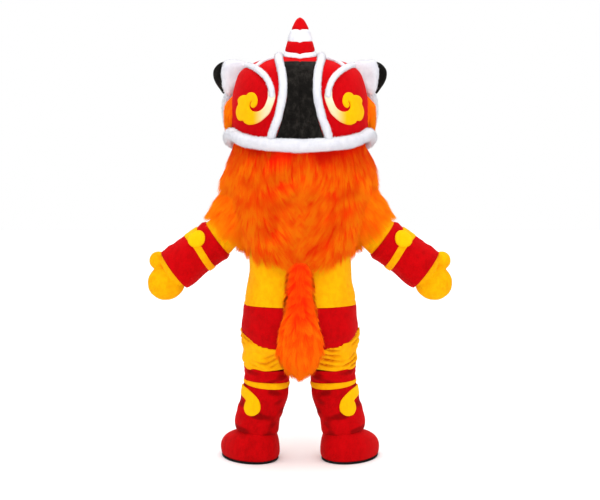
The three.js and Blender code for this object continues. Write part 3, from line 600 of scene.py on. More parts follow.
def opened(
    form: Form, place: Sequence[float], out: Sequence[float], part: Field | None = None
) -> Form:
    """Cuts off what lies beyond a plane and leaves a hole there.

    Args:
        form: The form to open.
        place: A place on the plane.
        out: The plane's direction, towards what is cut off.
        part: Gives True for the places that the cut may touch, where it may not touch all.

    Returns:
        The opened form.
    """
    work = bmesh.new()
    made = [work.verts.new(p) for p in form.points]
    for face in form.faces:
        work.faces.new([made[i] for i in face])
    touched = np.ones(len(form.points), bool) if part is None else part(form.points)
    work.verts.index_update()
    faces = [f for f in work.faces if all(touched[v.index] for v in f.verts)]
    edges = {e for f in faces for e in f.edges}
    verts = {v for f in faces for v in f.verts}
    bmesh.ops.bisect_plane(
        work,
        geom=[*verts, *edges, *faces],
        plane_co=place,
        plane_no=out,
        clear_outer=True,
    )
    work.verts.index_update()
    points = np.array([tuple(v.co) for v in work.verts])
    kept = [tuple(v.index for v in f.verts) for f in work.faces]
    work.free()
    return Form(points, kept)


def thickened(form: Form, thick: float) -> Form:
    """An open skin made a wall that is closed round its edges."""
    settings = {"thickness": thick / METRE, "offset": -1.0, "use_rim": True}
    return evaluated(form, ("SOLIDIFY", settings))


# Finishes


class Desk:
    """Adds nodes to a tree and joins them, so that a tree reads as a recipe."""

    def __init__(self, tree: bpy.types.NodeTree) -> None:
        """Keeps the tree."""
        self.tree = tree

    def feed(self, socket: bpy.types.NodeSocket, value: Any) -> None:
        """Gives an input a value or the output that it reads."""
        if isinstance(value, bpy.types.NodeSocket):
            self.tree.links.new(value, socket)
        elif isinstance(value, bpy.types.Node):
            self.tree.links.new(self.out(value), socket)
        else:
            socket.default_value = value

    def out(self, node: bpy.types.Node) -> bpy.types.NodeSocket:
        """A node's first output in use."""
        return next(s for s in node.outputs if s.enabled)

    def add(self, kind: str, inputs: dict[Any, Any] | None = None, **options: Any) -> Any:
        """Adds a node.

        Args:
            kind: The node's type.
            inputs: Values or outputs by input name or number.
            options: The node's own settings.

        Returns:
            The node.
        """
        node = self.tree.nodes.new(kind)
        for key, value in options.items():
            setattr(node, key, value)
        for key, value in (inputs or {}).items():
            if isinstance(key, int):
                socket = [s for s in node.inputs if s.enabled][key]
            else:
                socket = next(s for s in node.inputs if s.enabled and s.name == key)
            self.feed(socket, value)
        return node

    def math(self, operation: str, a: Any, b: Any = 0.0) -> bpy.types.NodeSocket:
        """A sum or other operation on two numbers."""
        node = self.add("ShaderNodeMath", {0: a}, operation=operation)
        if len([s for s in node.inputs if s.enabled]) > 1:
            self.feed(node.inputs[1], b)
        return node.outputs[0]

    def vector(self, operation: str, a: Any, b: Any = None) -> bpy.types.NodeSocket:
        """An operation on two vectors, or on a vector and a number to scale it by."""
        node = self.add("ShaderNodeVectorMath", {0: a}, operation=operation)
        if b is not None:
            self.feed([s for s in node.inputs if s.enabled][1], b)
        return self.out(node)

    def total(self, *terms: tuple[Any, float]) -> bpy.types.NodeSocket:
        """The sum of numbers, each times its weight."""
        parts = [self.math("MULTIPLY", value, weight) for value, weight in terms]
        result = parts[0]
        for part in parts[1:]:
            result = self.math("ADD", result, part)
        return result

    def noise(self, where: Any, scale: float, detail: float = 2.0) -> bpy.types.NodeSocket:
        """Clouds of a size, given as their number in a metre."""
        inputs = {"Vector": where, "Scale": scale, "Detail": detail, "Roughness": 0.55}
        return self.add("ShaderNodeTexNoise", inputs).outputs[0]

    def ramp(self, value: Any, stops: Sequence[tuple[float, Color]]) -> bpy.types.NodeSocket:
        """Colours along a number."""
        node = self.add("ShaderNodeValToRGB", {0: value})
        elements = node.color_ramp.elements
        while len(elements) < len(stops):
            elements.new(0.5)
        for element, (position, color) in zip(elements, stops):
            element.position = position
            element.color = (*color, 1)
        return node.outputs[0]

    def mix(self, part: Any, a: Any, b: Any, way: str = "MIX") -> bpy.types.NodeSocket:
        """Two colours mixed."""
        a, b = ((*value, 1) if isinstance(value, tuple) else value for value in (a, b))
        inputs = {"Factor": part, "A": a, "B": b}
        return self.out(self.add("ShaderNodeMix", inputs, data_type="RGBA", blend_type=way))

    def mark(self, name: str) -> bpy.types.NodeSocket:
        """A mark of the piece's points, in a material."""
        return self.add("ShaderNodeAttribute", attribute_name=name).outputs["Fac"]


def new_material(name: str) -> tuple[bpy.types.Material, Desk, bpy.types.Node, Any]:
    """A material with its desk, its shader and the place on the object that patterns read."""
    material = bpy.data.materials.new(name)
    material.use_nodes = True
    desk = Desk(material.node_tree)
    shader = next(n for n in material.node_tree.nodes if n.type == "BSDF_PRINCIPLED")
    where = desk.add("ShaderNodeTexCoord").outputs["Object"]
    return material, desk, shader, where


@dataclass(frozen=True)
class Plush:
    """Short pile plush: brushed patches, a mottled nap, soft light at its edges and painted shade."""

    name: str
    slot: Slot | None
    base: Color
    shade: Color
    bright: Color
    # deep is the colour of painted shade, for creases and shaded patches
    deep: Color
    nap: float = 0.5
    pile: float = 0.0016
    sheen: float = 0.2
    sheen_tint: Color = (1.0, 0.8, 0.7)
    fade_to: Color | None = None

    def material(self) -> bpy.types.Material:
        """Builds the material."""
        material, desk, shader, where = new_material(self.name)
        brushed = desk.add("ShaderNodeMapping", {"Vector": where, "Scale": (1.0, 1.0, 0.75)})
        patches = desk.noise(where, 7.0, 1.5)
        nap = desk.noise(brushed, 46.0, 3.0)
        tufts = desk.noise(brushed, 190.0, 2.0)
        fibres = desk.noise(where, 900.0, 1.0)
        tone = desk.total((patches, 0.34), (nap, 0.42), (tufts, 0.24))
        spread = 0.11 / self.nap
        stops = [(0.5 - spread, self.shade), (0.5, self.base), (0.5 + spread, self.bright)]
        color = desk.ramp(tone, stops)
        # Painted shade: the colour darkens towards deep by the piece's shade mark
        color = desk.mix(desk.mark("crease"), color, self.deep)
        if self.fade_to is not None:
            color = desk.mix(desk.mark("fade"), color, self.fade_to)
        height = desk.total((nap, 0.9), (tufts, 0.7), (fibres, 0.3))
        relief = {"Strength": 0.55, "Distance": self.pile, "Height": height}
        desk.feed(shader.inputs["Base Color"], color)
        desk.feed(shader.inputs["Normal"], desk.add("ShaderNodeBump", relief))
        rough = desk.add("ShaderNodeMapRange", {"Value": tufts, "To Min": 0.78, "To Max": 0.98})
        desk.feed(shader.inputs["Roughness"], rough)
        shader.inputs["Specular IOR Level"].default_value = 0.06
        shader.inputs["Sheen Weight"].default_value = self.sheen
        shader.inputs["Sheen Roughness"].default_value = 0.45
        shader.inputs["Sheen Tint"].default_value = (*self.sheen_tint, 1)
        return material


@dataclass(frozen=True)
class LongFur:
    """Long fur all coloured in one batch, with shade painted in: darker and redder at the roots,
    lighter at the tips.
    """

    name: str
    slot: Slot | None
    # root is painted shade: the dark red deep in the pelt
    root: Color
    middle: Color
    tip: Color
    # The red of real dye and of painted shade, mixed in by the marks
    red_dye_and_shade: Color
    gold: Color
    uneven: float = 0.35
    # Painted light: red pushed past one, green and blue lowered, to brighten the fur
    painted_light_gain: Color = (1.25, 0.9, 0.9)

    def material(self) -> bpy.types.Material:
        """Builds the material, which reads the strands' marks along, tint, tuft, dye and gold."""
        material, desk, shader, where = new_material(self.name)
        mark = {name: desk.mark(name) for name in ("along", "tint", "tuft", "dye_and_shade", "gold")}
        patches = desk.noise(where, 11.0, 2.0)
        drift = desk.total((mark["tint"], 0.35), (mark["tuft"], 0.45))
        place = desk.math("ADD", mark["along"], desk.math("SUBTRACT", drift, 0.4))
        # Painted shade: dark red at the roots, light at the tips
        color = desk.ramp(place, [(0.05, self.root), (0.45, self.middle), (0.95, self.tip)])
        # Redness from random dye patches and from the marks, which are partly painted shade;
        # strongest near the roots
        redness = desk.math("MULTIPLY", desk.math("SUBTRACT", patches, 0.44), self.uneven * 6)
        redness = desk.math("ADD", redness, mark["dye_and_shade"])
        fading = desk.math("SUBTRACT", 1.0, desk.math("MULTIPLY", mark["along"], 0.55))
        redness = desk.math("MULTIPLY", redness, fading)
        held = desk.out(desk.add("ShaderNodeClamp", {"Value": redness}))
        color = desk.mix(held, color, self.red_dye_and_shade)
        color = desk.mix(mark["gold"], color, self.gold)
        # Painted light: the gain brightens the red beyond what the fur reflects
        color = desk.mix(1.0, color, self.painted_light_gain, "MULTIPLY")
        desk.feed(shader.inputs["Base Color"], color)
        matt = {"Value": mark["tint"], "To Min": 0.5, "To Max": 0.75}
        desk.feed(shader.inputs["Roughness"], desk.add("ShaderNodeMapRange", matt))
        shader.inputs["Specular IOR Level"].default_value = 0.03
        shader.inputs["Sheen Weight"].default_value = 0.35
        shader.inputs["Sheen Roughness"].default_value = 0.6
        shader.inputs["Sheen Tint"].default_value = (1.0, 0.3, 0.02, 1.0)
        return material


@dataclass(frozen=True)
class Smooth:
    """A hard or rubbery finish with a little unevenness and wear."""

    name: str
    slot: Slot | None
    base: Color
    worn: Color
    roughness: float
    grain: float = 60.0
    depth: float = 0.0004
    coat: float = 0.0
    gloss: float = 0.5

    def material(self) -> bpy.types.Material:
        """Builds the material."""
        material, desk, shader, where = new_material(self.name)
        clouds = desk.noise(where, self.grain, 3.0)
        specks = desk.noise(where, self.grain * 12, 2.0)
        color = desk.ramp(clouds, [(0.38, self.base), (0.7, self.worn)])
        low, high = self.roughness * 0.85, min(1.0, self.roughness * 1.2)
        rough = desk.add("ShaderNodeMapRange", {"Value": specks, "To Min": low, "To Max": high})
        relief = {"Strength": 0.4, "Distance": self.depth, "Height": specks}
        desk.feed(shader.inputs["Base Color"], color)
        desk.feed(shader.inputs["Roughness"], rough)
        desk.feed(shader.inputs["Normal"], desk.add("ShaderNodeBump", relief))
        shader.inputs["Coat Weight"].default_value = self.coat
        shader.inputs["Specular IOR Level"].default_value = self.gloss
        return material


RED = Plush(
    "red_plush",
    Slot.RED,
    base=srgb(190, 0, 8),
    shade=srgb(166, 0, 5),
    bright=srgb(204, 2, 14),
    deep=srgb(110, 0, 2),
    sheen_tint=(1.0, 0.06, 0.05),
)
RED_DEEP = Plush(
    "red_plush_suit",
    Slot.RED,
    base=srgb(184, 0, 5),
    shade=srgb(150, 0, 2),
    bright=srgb(200, 0, 8),
    deep=srgb(84, 0, 0),
    sheen_tint=(1.0, 0.05, 0.04),
)
YELLOW = Plush(
    "yellow_plush",
    Slot.YELLOW,
    base=srgb(240, 168, 0),
    shade=srgb(232, 140, 0),
    bright=srgb(246, 186, 2),
    deep=srgb(200, 84, 0),
    sheen_tint=(1.0, 0.6, 0.05),
)
YELLOW_FLAT = Plush(
    "yellow_applique",
    Slot.YELLOW,
    base=srgb(240, 180, 0),
    shade=srgb(234, 160, 0),
    bright=srgb(248, 196, 2),
    deep=srgb(208, 114, 0),
    nap=0.35,
    sheen=0.1,
    sheen_tint=(1.0, 0.8, 0.2),
    fade_to=srgb(236, 228, 206),
)
WHITE = Plush(
    "white_plush",
    Slot.WHITE,
    base=srgb(226, 226, 232),
    shade=srgb(208, 208, 218),
    bright=srgb(238, 238, 241),
    deep=srgb(176, 176, 192),
    nap=0.45,
    sheen_tint=(1.0, 1.0, 1.0),
)
BLACK = Plush(
    "black_plush",
    Slot.BLACK,
    base=srgb(18, 16, 14),
    shade=srgb(8, 7, 6),
    bright=srgb(40, 37, 34),
    deep=srgb(6, 5, 4),
    nap=0.8,
    pile=0.0022,
    sheen=0.04,
    sheen_tint=(0.7, 0.68, 0.66),
)
MANE_FUR = LongFur(
    "mane_fur",
    Slot.FUR,
    root=srgb(240, 24, 0),
    middle=srgb(253, 80, 0),
    tip=srgb(255, 156, 10),
    red_dye_and_shade=srgb(226, 14, 0),
    gold=srgb(255, 160, 0),
)
TAIL_FUR = LongFur(
    "tail_fur",
    Slot.FUR,
    root=srgb(252, 34, 0),
    middle=srgb(255, 80, 0),
    tip=srgb(255, 140, 8),
    red_dye_and_shade=srgb(234, 20, 0),
    gold=srgb(255, 160, 0),
    uneven=0.2,
)
EYE_WHITE = Smooth("eye_white", Slot.EYE, srgb(236, 232, 222), srgb(226, 218, 200), 0.25, coat=0.6)
PUPIL = Smooth("pupil_black", Slot.PUPIL, srgb(10, 9, 9), srgb(16, 14, 13), 0.16, coat=0.8)
SOLE = Smooth(
    "sole_rubber",
    Slot.SOLE,
    base=srgb(17, 15, 14),
    worn=srgb(30, 27, 26),
    roughness=0.8,
    grain=40.0,
    depth=0.0008,
    gloss=0.1,
)
FLOOR = Smooth(
    "studio_floor",
    None,
    base=srgb(246, 246, 247),
    worn=srgb(248, 248, 248),
    roughness=0.9,
    grain=3.0,
    depth=0.0001,
    gloss=0.1,
)


class Wardrobe:
    """Turns forms into finished pieces of the costume."""

    def __init__(self) -> None:
        """Starts with no materials made."""
        self.made: dict[str, bpy.types.Material] = {}
        self.count = 0

    def finish(self, look: Any) -> bpy.types.Material:
        """A finish's material, built once."""
        if look.name not in self.made:
            self.made[look.name] = look.material()
        return self.made[look.name]

    def hang(
        self,
        name: str,
        thing: Form | bpy.types.Mesh,
        look: Any,
        nodes: Iterable[str] = (),
        fill: float | None = None,
    ) -> bpy.types.Object:
        """Adds a piece that moves with the costume.

        Args:
            name: The piece's name.
            thing: Its form, or a mesh that is ready.
            look: Its finish.
            nodes: The plain solids that it stands for.
            fill: How tightly it is stuffed, for a stuffed piece; not used.

        Returns:
            The finished object.
        """
        data = thing.mesh(name) if isinstance(thing, Form) else thing
        if not data.materials:
            data.materials.append(self.finish(look))
        piece = bpy.data.objects.new(name, data)
        bpy.context.scene.collection.objects.link(piece)
        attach(piece, BODY)
        if nodes:
            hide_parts(*nodes)
        triangles = sum(len(p.vertices) - 2 for p in data.polygons)
        self.count += triangles
        LOG.info("%s: %d triangles", name, triangles)
        return piece


# Fur


@dataclass(frozen=True)
class Pile:
    """How densely and how loosely strands grow. Lengths are metres."""

    density: float
    thickness: float = 0.02
    clump_gap: float = 0.03
    clumping: float = 0.55
    bow: float = 0.08
    spread: float = 0.12
    lie: float = 0.78
    seed: int = RNG_SEED


class FurCoat:
    """Strands of fur on a skin, made by a Geometry Nodes tree."""

    INPUTS = (
        ("Skin", "NodeSocketGeometry"),
        ("Density", "NodeSocketFloat"),
        ("Thickness", "NodeSocketFloat"),
        ("Clump Gap", "NodeSocketFloat"),
        ("Clumping", "NodeSocketFloat"),
        ("Bow", "NodeSocketFloat"),
        ("Spread", "NodeSocketFloat"),
        ("Lie", "NodeSocketFloat"),
        ("Seed", "NodeSocketInt"),
        ("Material", "NodeSocketMaterial"),
    )

    def __init__(self) -> None:
        """Builds the tree once for all coats."""
        self.tree = bpy.data.node_groups.new("fur_coat", "GeometryNodeTree")
        self.keys: dict[str, str] = {}
        for name, kind in self.INPUTS:
            item = self.tree.interface.new_socket(name, in_out="INPUT", socket_type=kind)
            self.keys[name] = item.identifier
        self.tree.interface.new_socket("Fur", in_out="OUTPUT", socket_type="NodeSocketGeometry")
        self._build(Desk(self.tree))

    def _strand(self, desk: Desk, given: bpy.types.Node) -> bpy.types.NodeSocket:
        """One strand, a metre long, that tapers and bows out."""
        shape = {"Vertices": 3, "Radius Top": 0.0, "Depth": 1.0}
        cone = desk.add("GeometryNodeMeshCone", shape)
        desk.feed(cone.inputs["Radius Bottom"], given.outputs["Thickness"])
        place = desk.add("ShaderNodeSeparateXYZ", {0: desk.add("GeometryNodeInputPosition")})
        height = place.outputs["Z"]
        marked = self._stored(desk, cone.outputs["Mesh"], "along", height, "POINT")
        arch = desk.math("SINE", desk.math("MULTIPLY", height, math.pi))
        bow = desk.math("MULTIPLY", arch, given.outputs["Bow"])
        offset = desk.add("ShaderNodeCombineXYZ", {"X": bow})
        return desk.out(desk.add("GeometryNodeSetPosition", {"Geometry": marked, "Offset": offset}))

    def _stored(
        self, desk: Desk, geometry: Any, name: str, value: Any, domain: str
    ) -> bpy.types.NodeSocket:
        """The geometry with a number kept on it as a mark."""
        inputs = {"Geometry": geometry, "Name": name, "Value": value}
        kind = "GeometryNodeStoreNamedAttribute"
        return desk.out(desk.add(kind, inputs, data_type="FLOAT", domain=domain))

    def _sampled(self, desk: Desk, points: Any, value: Any, index: Any, kind: str) -> Any:
        """What a value is at one of the points."""
        inputs = {"Geometry": points, "Value": value, "Index": index}
        return desk.out(desk.add("GeometryNodeSampleIndex", inputs, data_type=kind, domain="POINT"))

    def _mark(self, desk: Desk, name: str, kind: str) -> bpy.types.NodeSocket:
        """Reads a mark of the skin or the strands."""
        return desk.out(desk.add("GeometryNodeInputNamedAttribute", {"Name": name}, data_type=kind))

    def _random(self, desk: Desk, low: float, high: float, seed: Any) -> bpy.types.NodeSocket:
        """A random number for each strand."""
        inputs = {"Min": low, "Max": high, "Seed": seed}
        return desk.out(desk.add("FunctionNodeRandomValue", inputs, data_type="FLOAT"))

    def _build(self, desk: Desk) -> None:
        """Adds the tree's nodes."""
        given = desk.add("NodeGroupInput")
        skin, seed = given.outputs["Skin"], given.outputs["Seed"]
        seeds = [desk.math("ADD", seed, float(k)) for k in range(1, 6)]
        grown = self._scattered(desk, skin, given.outputs["Density"], seed)
        gap = given.outputs["Clump Gap"]
        clump_density = desk.math("DIVIDE", 1.0, desk.math("MULTIPLY", gap, gap))
        clumps = self._scattered(desk, skin, clump_density, seeds[0])

        here = desk.out(desk.add("GeometryNodeInputPosition"))
        flow = self._mark(desk, "flow", "FLOAT_VECTOR")
        pelt = self._mark(desk, "pelt", "FLOAT_VECTOR")
        reach = self._mark(desk, "reach", "FLOAT")
        clump_tip = desk.vector("ADD", here, self._scaled(desk, flow, reach))
        place = {"Geometry": clumps, "Sample Position": here}
        nearest = desk.add("GeometryNodeSampleNearest", place, domain="POINT")
        shared_tip = self._sampled(desk, clumps, clump_tip, nearest, "FLOAT_VECTOR")
        tuft = self._random(desk, 0.0, 1.0, seeds[1])
        shared_tint = self._sampled(desk, clumps, tuft, nearest, "FLOAT")

        length = self._random(desk, 0.72, 1.08, seeds[2])
        cube = {"Min": (-1.0, -1.0, -1.0), "Max": (1.0, 1.0, 1.0), "Seed": seeds[3]}
        wander = desk.out(desk.add("FunctionNodeRandomValue", cube, data_type="FLOAT_VECTOR"))
        loose = self._scaled(desk, wander, desk.math("MULTIPLY", given.outputs["Spread"], reach))
        own_tip = desk.vector("ADD", clump_tip, loose)
        tip = self._between(desk, given.outputs["Clumping"], own_tip, shared_tip)
        way = desk.vector("SUBTRACT", tip, here)
        size = desk.math("MULTIPLY", desk.vector("LENGTH", way), length)
        ahead = desk.add("FunctionNodeAlignRotationToVector", {"Vector": way}, axis="Z")
        turned = desk.add(
            "FunctionNodeAlignRotationToVector",
            {"Rotation": ahead, "Vector": pelt},
            axis="X",
            pivot_axis="Z",
        )
        planting = {"Points": grown, "Instance": self._strand(desk, given)}
        planting.update({"Rotation": turned, "Scale": size})
        fur = desk.out(desk.add("GeometryNodeInstanceOnPoints", planting))

        tint = self._random(desk, 0.0, 1.0, seeds[4])
        fur = self._stored(desk, fur, "tint", tint, "INSTANCE")
        fur = self._stored(desk, fur, "tuft", shared_tint, "INSTANCE")
        for name in ("flow", "reach"):
            fur = desk.add("GeometryNodeRemoveAttribute", {"Geometry": fur, "Name": name})
        fur = desk.add("GeometryNodeRealizeInstances", {"Geometry": fur})
        own = desk.out(desk.add("GeometryNodeInputNormal"))
        lit = desk.vector("NORMALIZE", self._between(desk, given.outputs["Lie"], own, pelt))
        fur = desk.add("GeometryNodeSetMeshNormal", {"Mesh": fur}, mode="FREE", domain="POINT")
        desk.feed(fur.inputs["Custom Normal"], lit)
        finish = {"Geometry": fur, "Material": given.outputs["Material"]}
        desk.add("NodeGroupOutput", {0: desk.add("GeometryNodeSetMaterial", finish)})

    def _scattered(self, desk: Desk, skin: Any, density: Any, seed: Any) -> bpy.types.NodeSocket:
        """Random points on the skin."""
        inputs = {"Mesh": skin, "Density": density, "Seed": seed}
        kind = "GeometryNodeDistributePointsOnFaces"
        return desk.add(kind, inputs, distribute_method="RANDOM").outputs["Points"]

    def _between(self, desk: Desk, part: Any, a: Any, b: Any) -> bpy.types.NodeSocket:
        """Two vectors mixed."""
        inputs = {"Factor": part, "A": a, "B": b}
        return desk.out(desk.add("ShaderNodeMix", inputs, data_type="VECTOR"))

    def _scaled(self, desk: Desk, vector: Any, by: Any) -> bpy.types.NodeSocket:
        """A vector made longer or shorter."""
        inputs = {0: vector, "Scale": by}
        return desk.out(desk.add("ShaderNodeVectorMath", inputs, operation="SCALE"))

    def grow(
        self, name: str, scalp: Form, pile: Pile, material: bpy.types.Material
    ) -> bpy.types.Mesh:
        """Grows strands on a skin.

        Args:
            name: Name of the new mesh.
            scalp: The skin, with the marks flow and pelt (directions) and reach (metres).
            pile: How the strands grow.
            material: The fur's finish.

        Returns:
            The strands as a plain mesh.
        """
        holder = bpy.data.objects.new("scalp", scalp.mesh("scalp"))
        bpy.context.scene.collection.objects.link(holder)
        modifier = holder.modifiers.new("fur", "NODES")
        modifier.node_group = self.tree
        values = {
            "Density": pile.density,
            "Thickness": pile.thickness,
            "Clump Gap": pile.clump_gap,
            "Clumping": pile.clumping,
            "Bow": pile.bow,
            "Spread": pile.spread,
            "Lie": pile.lie,
            "Seed": pile.seed,
            "Material": material,
        }
        for key, value in values.items():
            modifier[self.keys[key]] = value
        graph = bpy.context.evaluated_depsgraph_get()
        data = bpy.data.meshes.new_from_object(holder.evaluated_get(graph))
        data.name = name
        data.polygons.foreach_set("use_smooth", [True] * len(data.polygons))
        old = holder.data
        bpy.data.objects.remove(holder)
        bpy.data.meshes.remove(old)
        return data


class Workroom(Wardrobe):
    """What every sub-assembly is made with."""

    def __init__(self) -> None:
        """Adds the tree that grows fur."""
        super().__init__()
        self.fur = FurCoat()

    def coat(self, name: str, scalp: Form, pile: Pile, look: LongFur) -> None:
        """Grows long fur on a skin with the marks flow, pelt, reach and dye, and hangs it."""
        data = self.fur.grow(name, scalp, pile, self.finish(look))
        fur = self.hang(name, data, look)
        fur.visible_shadow = False

    def fuzz(
        self,
        name: str,
        form: Form,
        look: Any,
        reach: float,
        density: float,
        keep: Field | None = None,
    ) -> None:
        """Covers a roll with short loose pile.

        Args:
            name: The pile's piece name.
            form: The roll.
            look: Its finish.
            reach: Length of the pile in millimetres.
            density: Number of tufts on a square metre.
            keep: Gives True for places that have pile.
        """
        normals = form.normals()
        faces = form.faces
        if keep is not None:
            kept = keep(form.points)
            faces = [f for f in faces if all(kept[i] for i in f)]
        marks = {
            "flow": unit(normals + (0, 0, -0.45)),
            "pelt": normals,
            "reach": np.full(len(form.points), reach / METRE),
        }
        scalp = Form(form.points, faces, marks)
        pile = Pile(density, thickness=0.14, clump_gap=0.012, clumping=0.45, bow=0.1, spread=0.5)
        data = self.fur.grow(name, scalp, pile, self.finish(look))
        self.hang(name, data, look)


# Head


class HeadShape:
    """The head's surface, which all the head's pieces lie on."""

    ROWS = Table(
        "level half back front",
        [
            (1360, 288, 256, 272),
            (1400, 297, 265, 283),
            (1450, 306, 276, 294),
            (1500, 308, 280, 299),
            (1570, 305, 279, 297),
            (1634, 301, 266, 280),
            (1695, 287, 243, 252),
            (1740, 264, 210, 214),
            (1774, 215, 152, 162),
            (1793, 160, 102, 114),
            (1803, 95, 64, 66),
        ],
    )
    RIM = Table(
        "level height",
        [(0, 1404), (35, 1418), (52, 1434), (70, 1457), (96, 1434), (135, 1410), (180, 1402)],
    )
    TOP_LEVEL = 1803.0
    TOP = 1807.0

    def __init__(self) -> None:
        """Makes the skin."""
        self.skin = Skin(self.ROWS, 2.25)

    def rim(self, angle: np.ndarray) -> np.ndarray:
        """Height of the head's lower edge."""
        return self.RIM.read("height", np.abs((angle - 90 + 540) % 360 - 180))

    def on(self, x: np.ndarray, z: np.ndarray, out: Any = 0.0, side: int = 1) -> np.ndarray:
        """Places on the head by x and z, on its back (1) or front (-1)."""
        x, z = np.broadcast_arrays(np.asarray(x, float), np.asarray(z, float))
        part = np.minimum(np.abs(x) / self.ROWS.read("half", z), 1)
        angle = side * np.degrees(np.arccos(part ** (self.skin.roundness / 2)))
        place = self.skin.at(angle, z, np.broadcast_to(np.asarray(out, float), z.shape))
        place[..., 0] *= np.where(x < 0, -1, 1)
        return place

    def route(self, rows: Sequence[Sequence[float]], out: float, count: int) -> np.ndarray:
        """A smooth line on the head through places given as x, z and side."""
        places = [self.on(r[0], r[1], out, int(r[2]) if len(r) > 2 else 1) for r in rows]
        return even_path(np.array(places), count)


@dataclass
class Head:
    """The padded head with its panel, rolls, clouds, ears and face."""

    room: Workroom
    wall: float = 15.0
    roll_radius: float = 27.0
    roll_stand_off: float = 8.0
    piping_radius: float = 17.5
    curl_radius: float = 14.0
    curl_end_radius: float = 12.5
    branch_radius: float = 9.5
    panel_thick: float = 7.0
    panel_top: float = 1768.0
    sides: int = 160
    shape: HeadShape = field(default_factory=HeadShape)

    PIPING_ROUTE = (
        (92, 1797, -1), (93, 1803, 1), (92, 1777, 1), (76, 1714, 1), (71, 1653, 1),
        (76, 1596, 1), (92, 1525, 1), (112, 1470, 1), (121, 1436, 1),
    )
    CURL_ROUTE = (
        (232, 1760), (184, 1734), (141, 1692), (124, 1654), (119, 1632), (118, 1616),
    )
    BRANCH_ROUTE = ((190, 1750), (158, 1776), (118, 1790))
    TRIM_ROUTE = (
        (286, -158, 1712), (318, -152, 1650), (331, -150, 1584), (322, -152, 1515),
        (300, -156, 1452),
    )
    PANEL_EDGE = Table(
        "level half",
        [
            (1425, 108), (1470, 90), (1520, 76), (1600, 58), (1653, 56), (1714, 60),
            (1777, 76), (1803, 78),
        ],
    )
    CLOUD = (
        (112, 1642), (104, 1616), (109, 1590), (117, 1568), (130, 1542), (147, 1525), (169, 1508),
        (186, 1500), (208, 1495), (225, 1497), (238, 1505), (244, 1514), (259, 1514), (268, 1523),
        (274, 1538), (276, 1555), (272, 1573), (266, 1588), (268, 1603), (261, 1616), (250, 1623),
        (238, 1625), (230, 1623), (220, 1632), (208, 1635), (195, 1631), (186, 1620), (181, 1605),
        (181, 1590), (186, 1577), (194, 1569), (203, 1567), (209, 1572), (211, 1580), (209, 1588),
        (204, 1596), (211, 1591), (215, 1580), (214, 1568), (208, 1558), (197, 1552), (182, 1551),
        (165, 1558), (152, 1571), (143, 1590), (137, 1611), (134, 1642),
    )
    EAR = (
        (232, 1772), (262, 1790), (300, 1797), (338, 1791), (354, 1764), (357, 1730), (353, 1694),
        (346, 1662), (328, 1640), (300, 1640), (270, 1668), (240, 1720),
    )
    EAR_RIM = (
        (318, 1782), (334, 1789), (356, 1785), (378, 1768), (390, 1746), (389, 1716), (378, 1690),
        (360, 1664), (344, 1645), (334, 1660), (326, 1710),
    )

    def build(self) -> None:
        """Makes every piece of the head."""
        self.shell()
        self.rim_roll()
        self.panel()
        self.rolls()
        self.clouds()
        self.ears()
        self.cheeks()
        Face(self.room, self.shape).build()
        Horn(self.room).build()

    def shell(self) -> None:
        """The red dome, hollow, with the mouth cut through its front."""
        angle = np.arange(self.sides) / self.sides * 360
        part = np.linspace(0, 1, 46)[:, None]
        rim = self.shape.rim(angle)
        level = rim + (HeadShape.TOP_LEVEL - rim) * (1 - (1 - part) ** 1.6)
        angles = np.broadcast_to(angle, level.shape)
        base, out = self.shape.skin.point(angles, level), self.shape.skin.normal(angles, level)
        swell = 1.5 * lumps(base, 90, 5)
        outer = base + out * swell[..., None]
        inner = base - out * self.wall
        cap = []
        for t in (0.3, 0.6, 0.85):
            ring = outer[-1] * (1 - t) + outer[-1].mean(axis=0) * t
            ring[:, 2] += (HeadShape.TOP - HeadShape.TOP_LEVEL) * (1 - (1 - t) ** 2)
            cap.append(ring)
        rings = np.concatenate([inner[::-1], outer, np.array(cap)])
        dome = stack(rings, poles=True)
        cut = ("BOOLEAN", {"operation": "DIFFERENCE", "solver": "EXACT"})
        dome = evaluated(dome, cut, cutter=Face.mouth())
        self.room.hang("head_dome", dome, RED, ["head_shell"], fill=0.7)

    def rim_roll(self) -> None:
        """The white fur roll round the head's lower edge."""
        around, sides = 200, 28
        angle = np.arange(around) / around * 360
        stand_off = np.full(around, self.roll_stand_off)
        centre = self.shape.skin.at(angle, self.shape.rim(angle) + 2, stand_off)
        out = np.stack([np.cos(np.radians(angle)), np.sin(np.radians(angle)), 0 * angle], axis=-1)
        turn = (np.arange(sides) / sides * 2 * math.pi)[:, None]
        spokes = out[:, None] * np.cos(turn) + np.array([0, 0, 1.0]) * np.sin(turn)
        radius = self.roll_radius + 1.2 * lumps(centre, 45, 7)
        roll = stack(centre[:, None] + spokes * radius[:, None, None], looped=True)
        self.room.hang("head_rim_roll", roll, WHITE, ["rim_roll"], fill=0.8)

        def seen(p: np.ndarray) -> np.ndarray:
            """The outer side of the roll."""
            return np.hypot(p[:, 0] / 300, p[:, 1] / 275) > 0.96

        self.room.fuzz("head_rim_pile", roll, WHITE, 6.0, 52000.0, seen)

    def panel(self) -> None:
        """The black panel down the back, with its middle seam."""
        low, high = np.linspace(1425, 1740, 50), np.linspace(1742, self.panel_top, 20)
        level = np.concatenate([low, high])[:, None]
        across = np.linspace(-1, 1, 40)[None]
        half = self.PANEL_EDGE.read("half", level)
        x = half * across
        rim = np.minimum((1 - np.abs(across)) * half, 3 * (self.panel_top - level))
        edge = np.clip(rim / 9, 0, 1)
        height = self.panel_thick * np.sqrt(1 - (1 - edge) ** 2)
        height = height - 4.5 * bell(0, 3.5, x)
        z = np.broadcast_to(level, x.shape)
        top = self.shape.on(x, z, height + 0.9 * lumps(np.stack([x, 0 * x, z], -1), 30, 9))
        under = self.shape.on(x, z, np.full(x.shape, -2.0))
        rings = np.concatenate([top, under[:, ::-1]], axis=1)
        form = stack(rings, poles=True)
        self.room.hang("crown_panel_padded", form, BLACK, ["crown_panel"], fill=0.5)

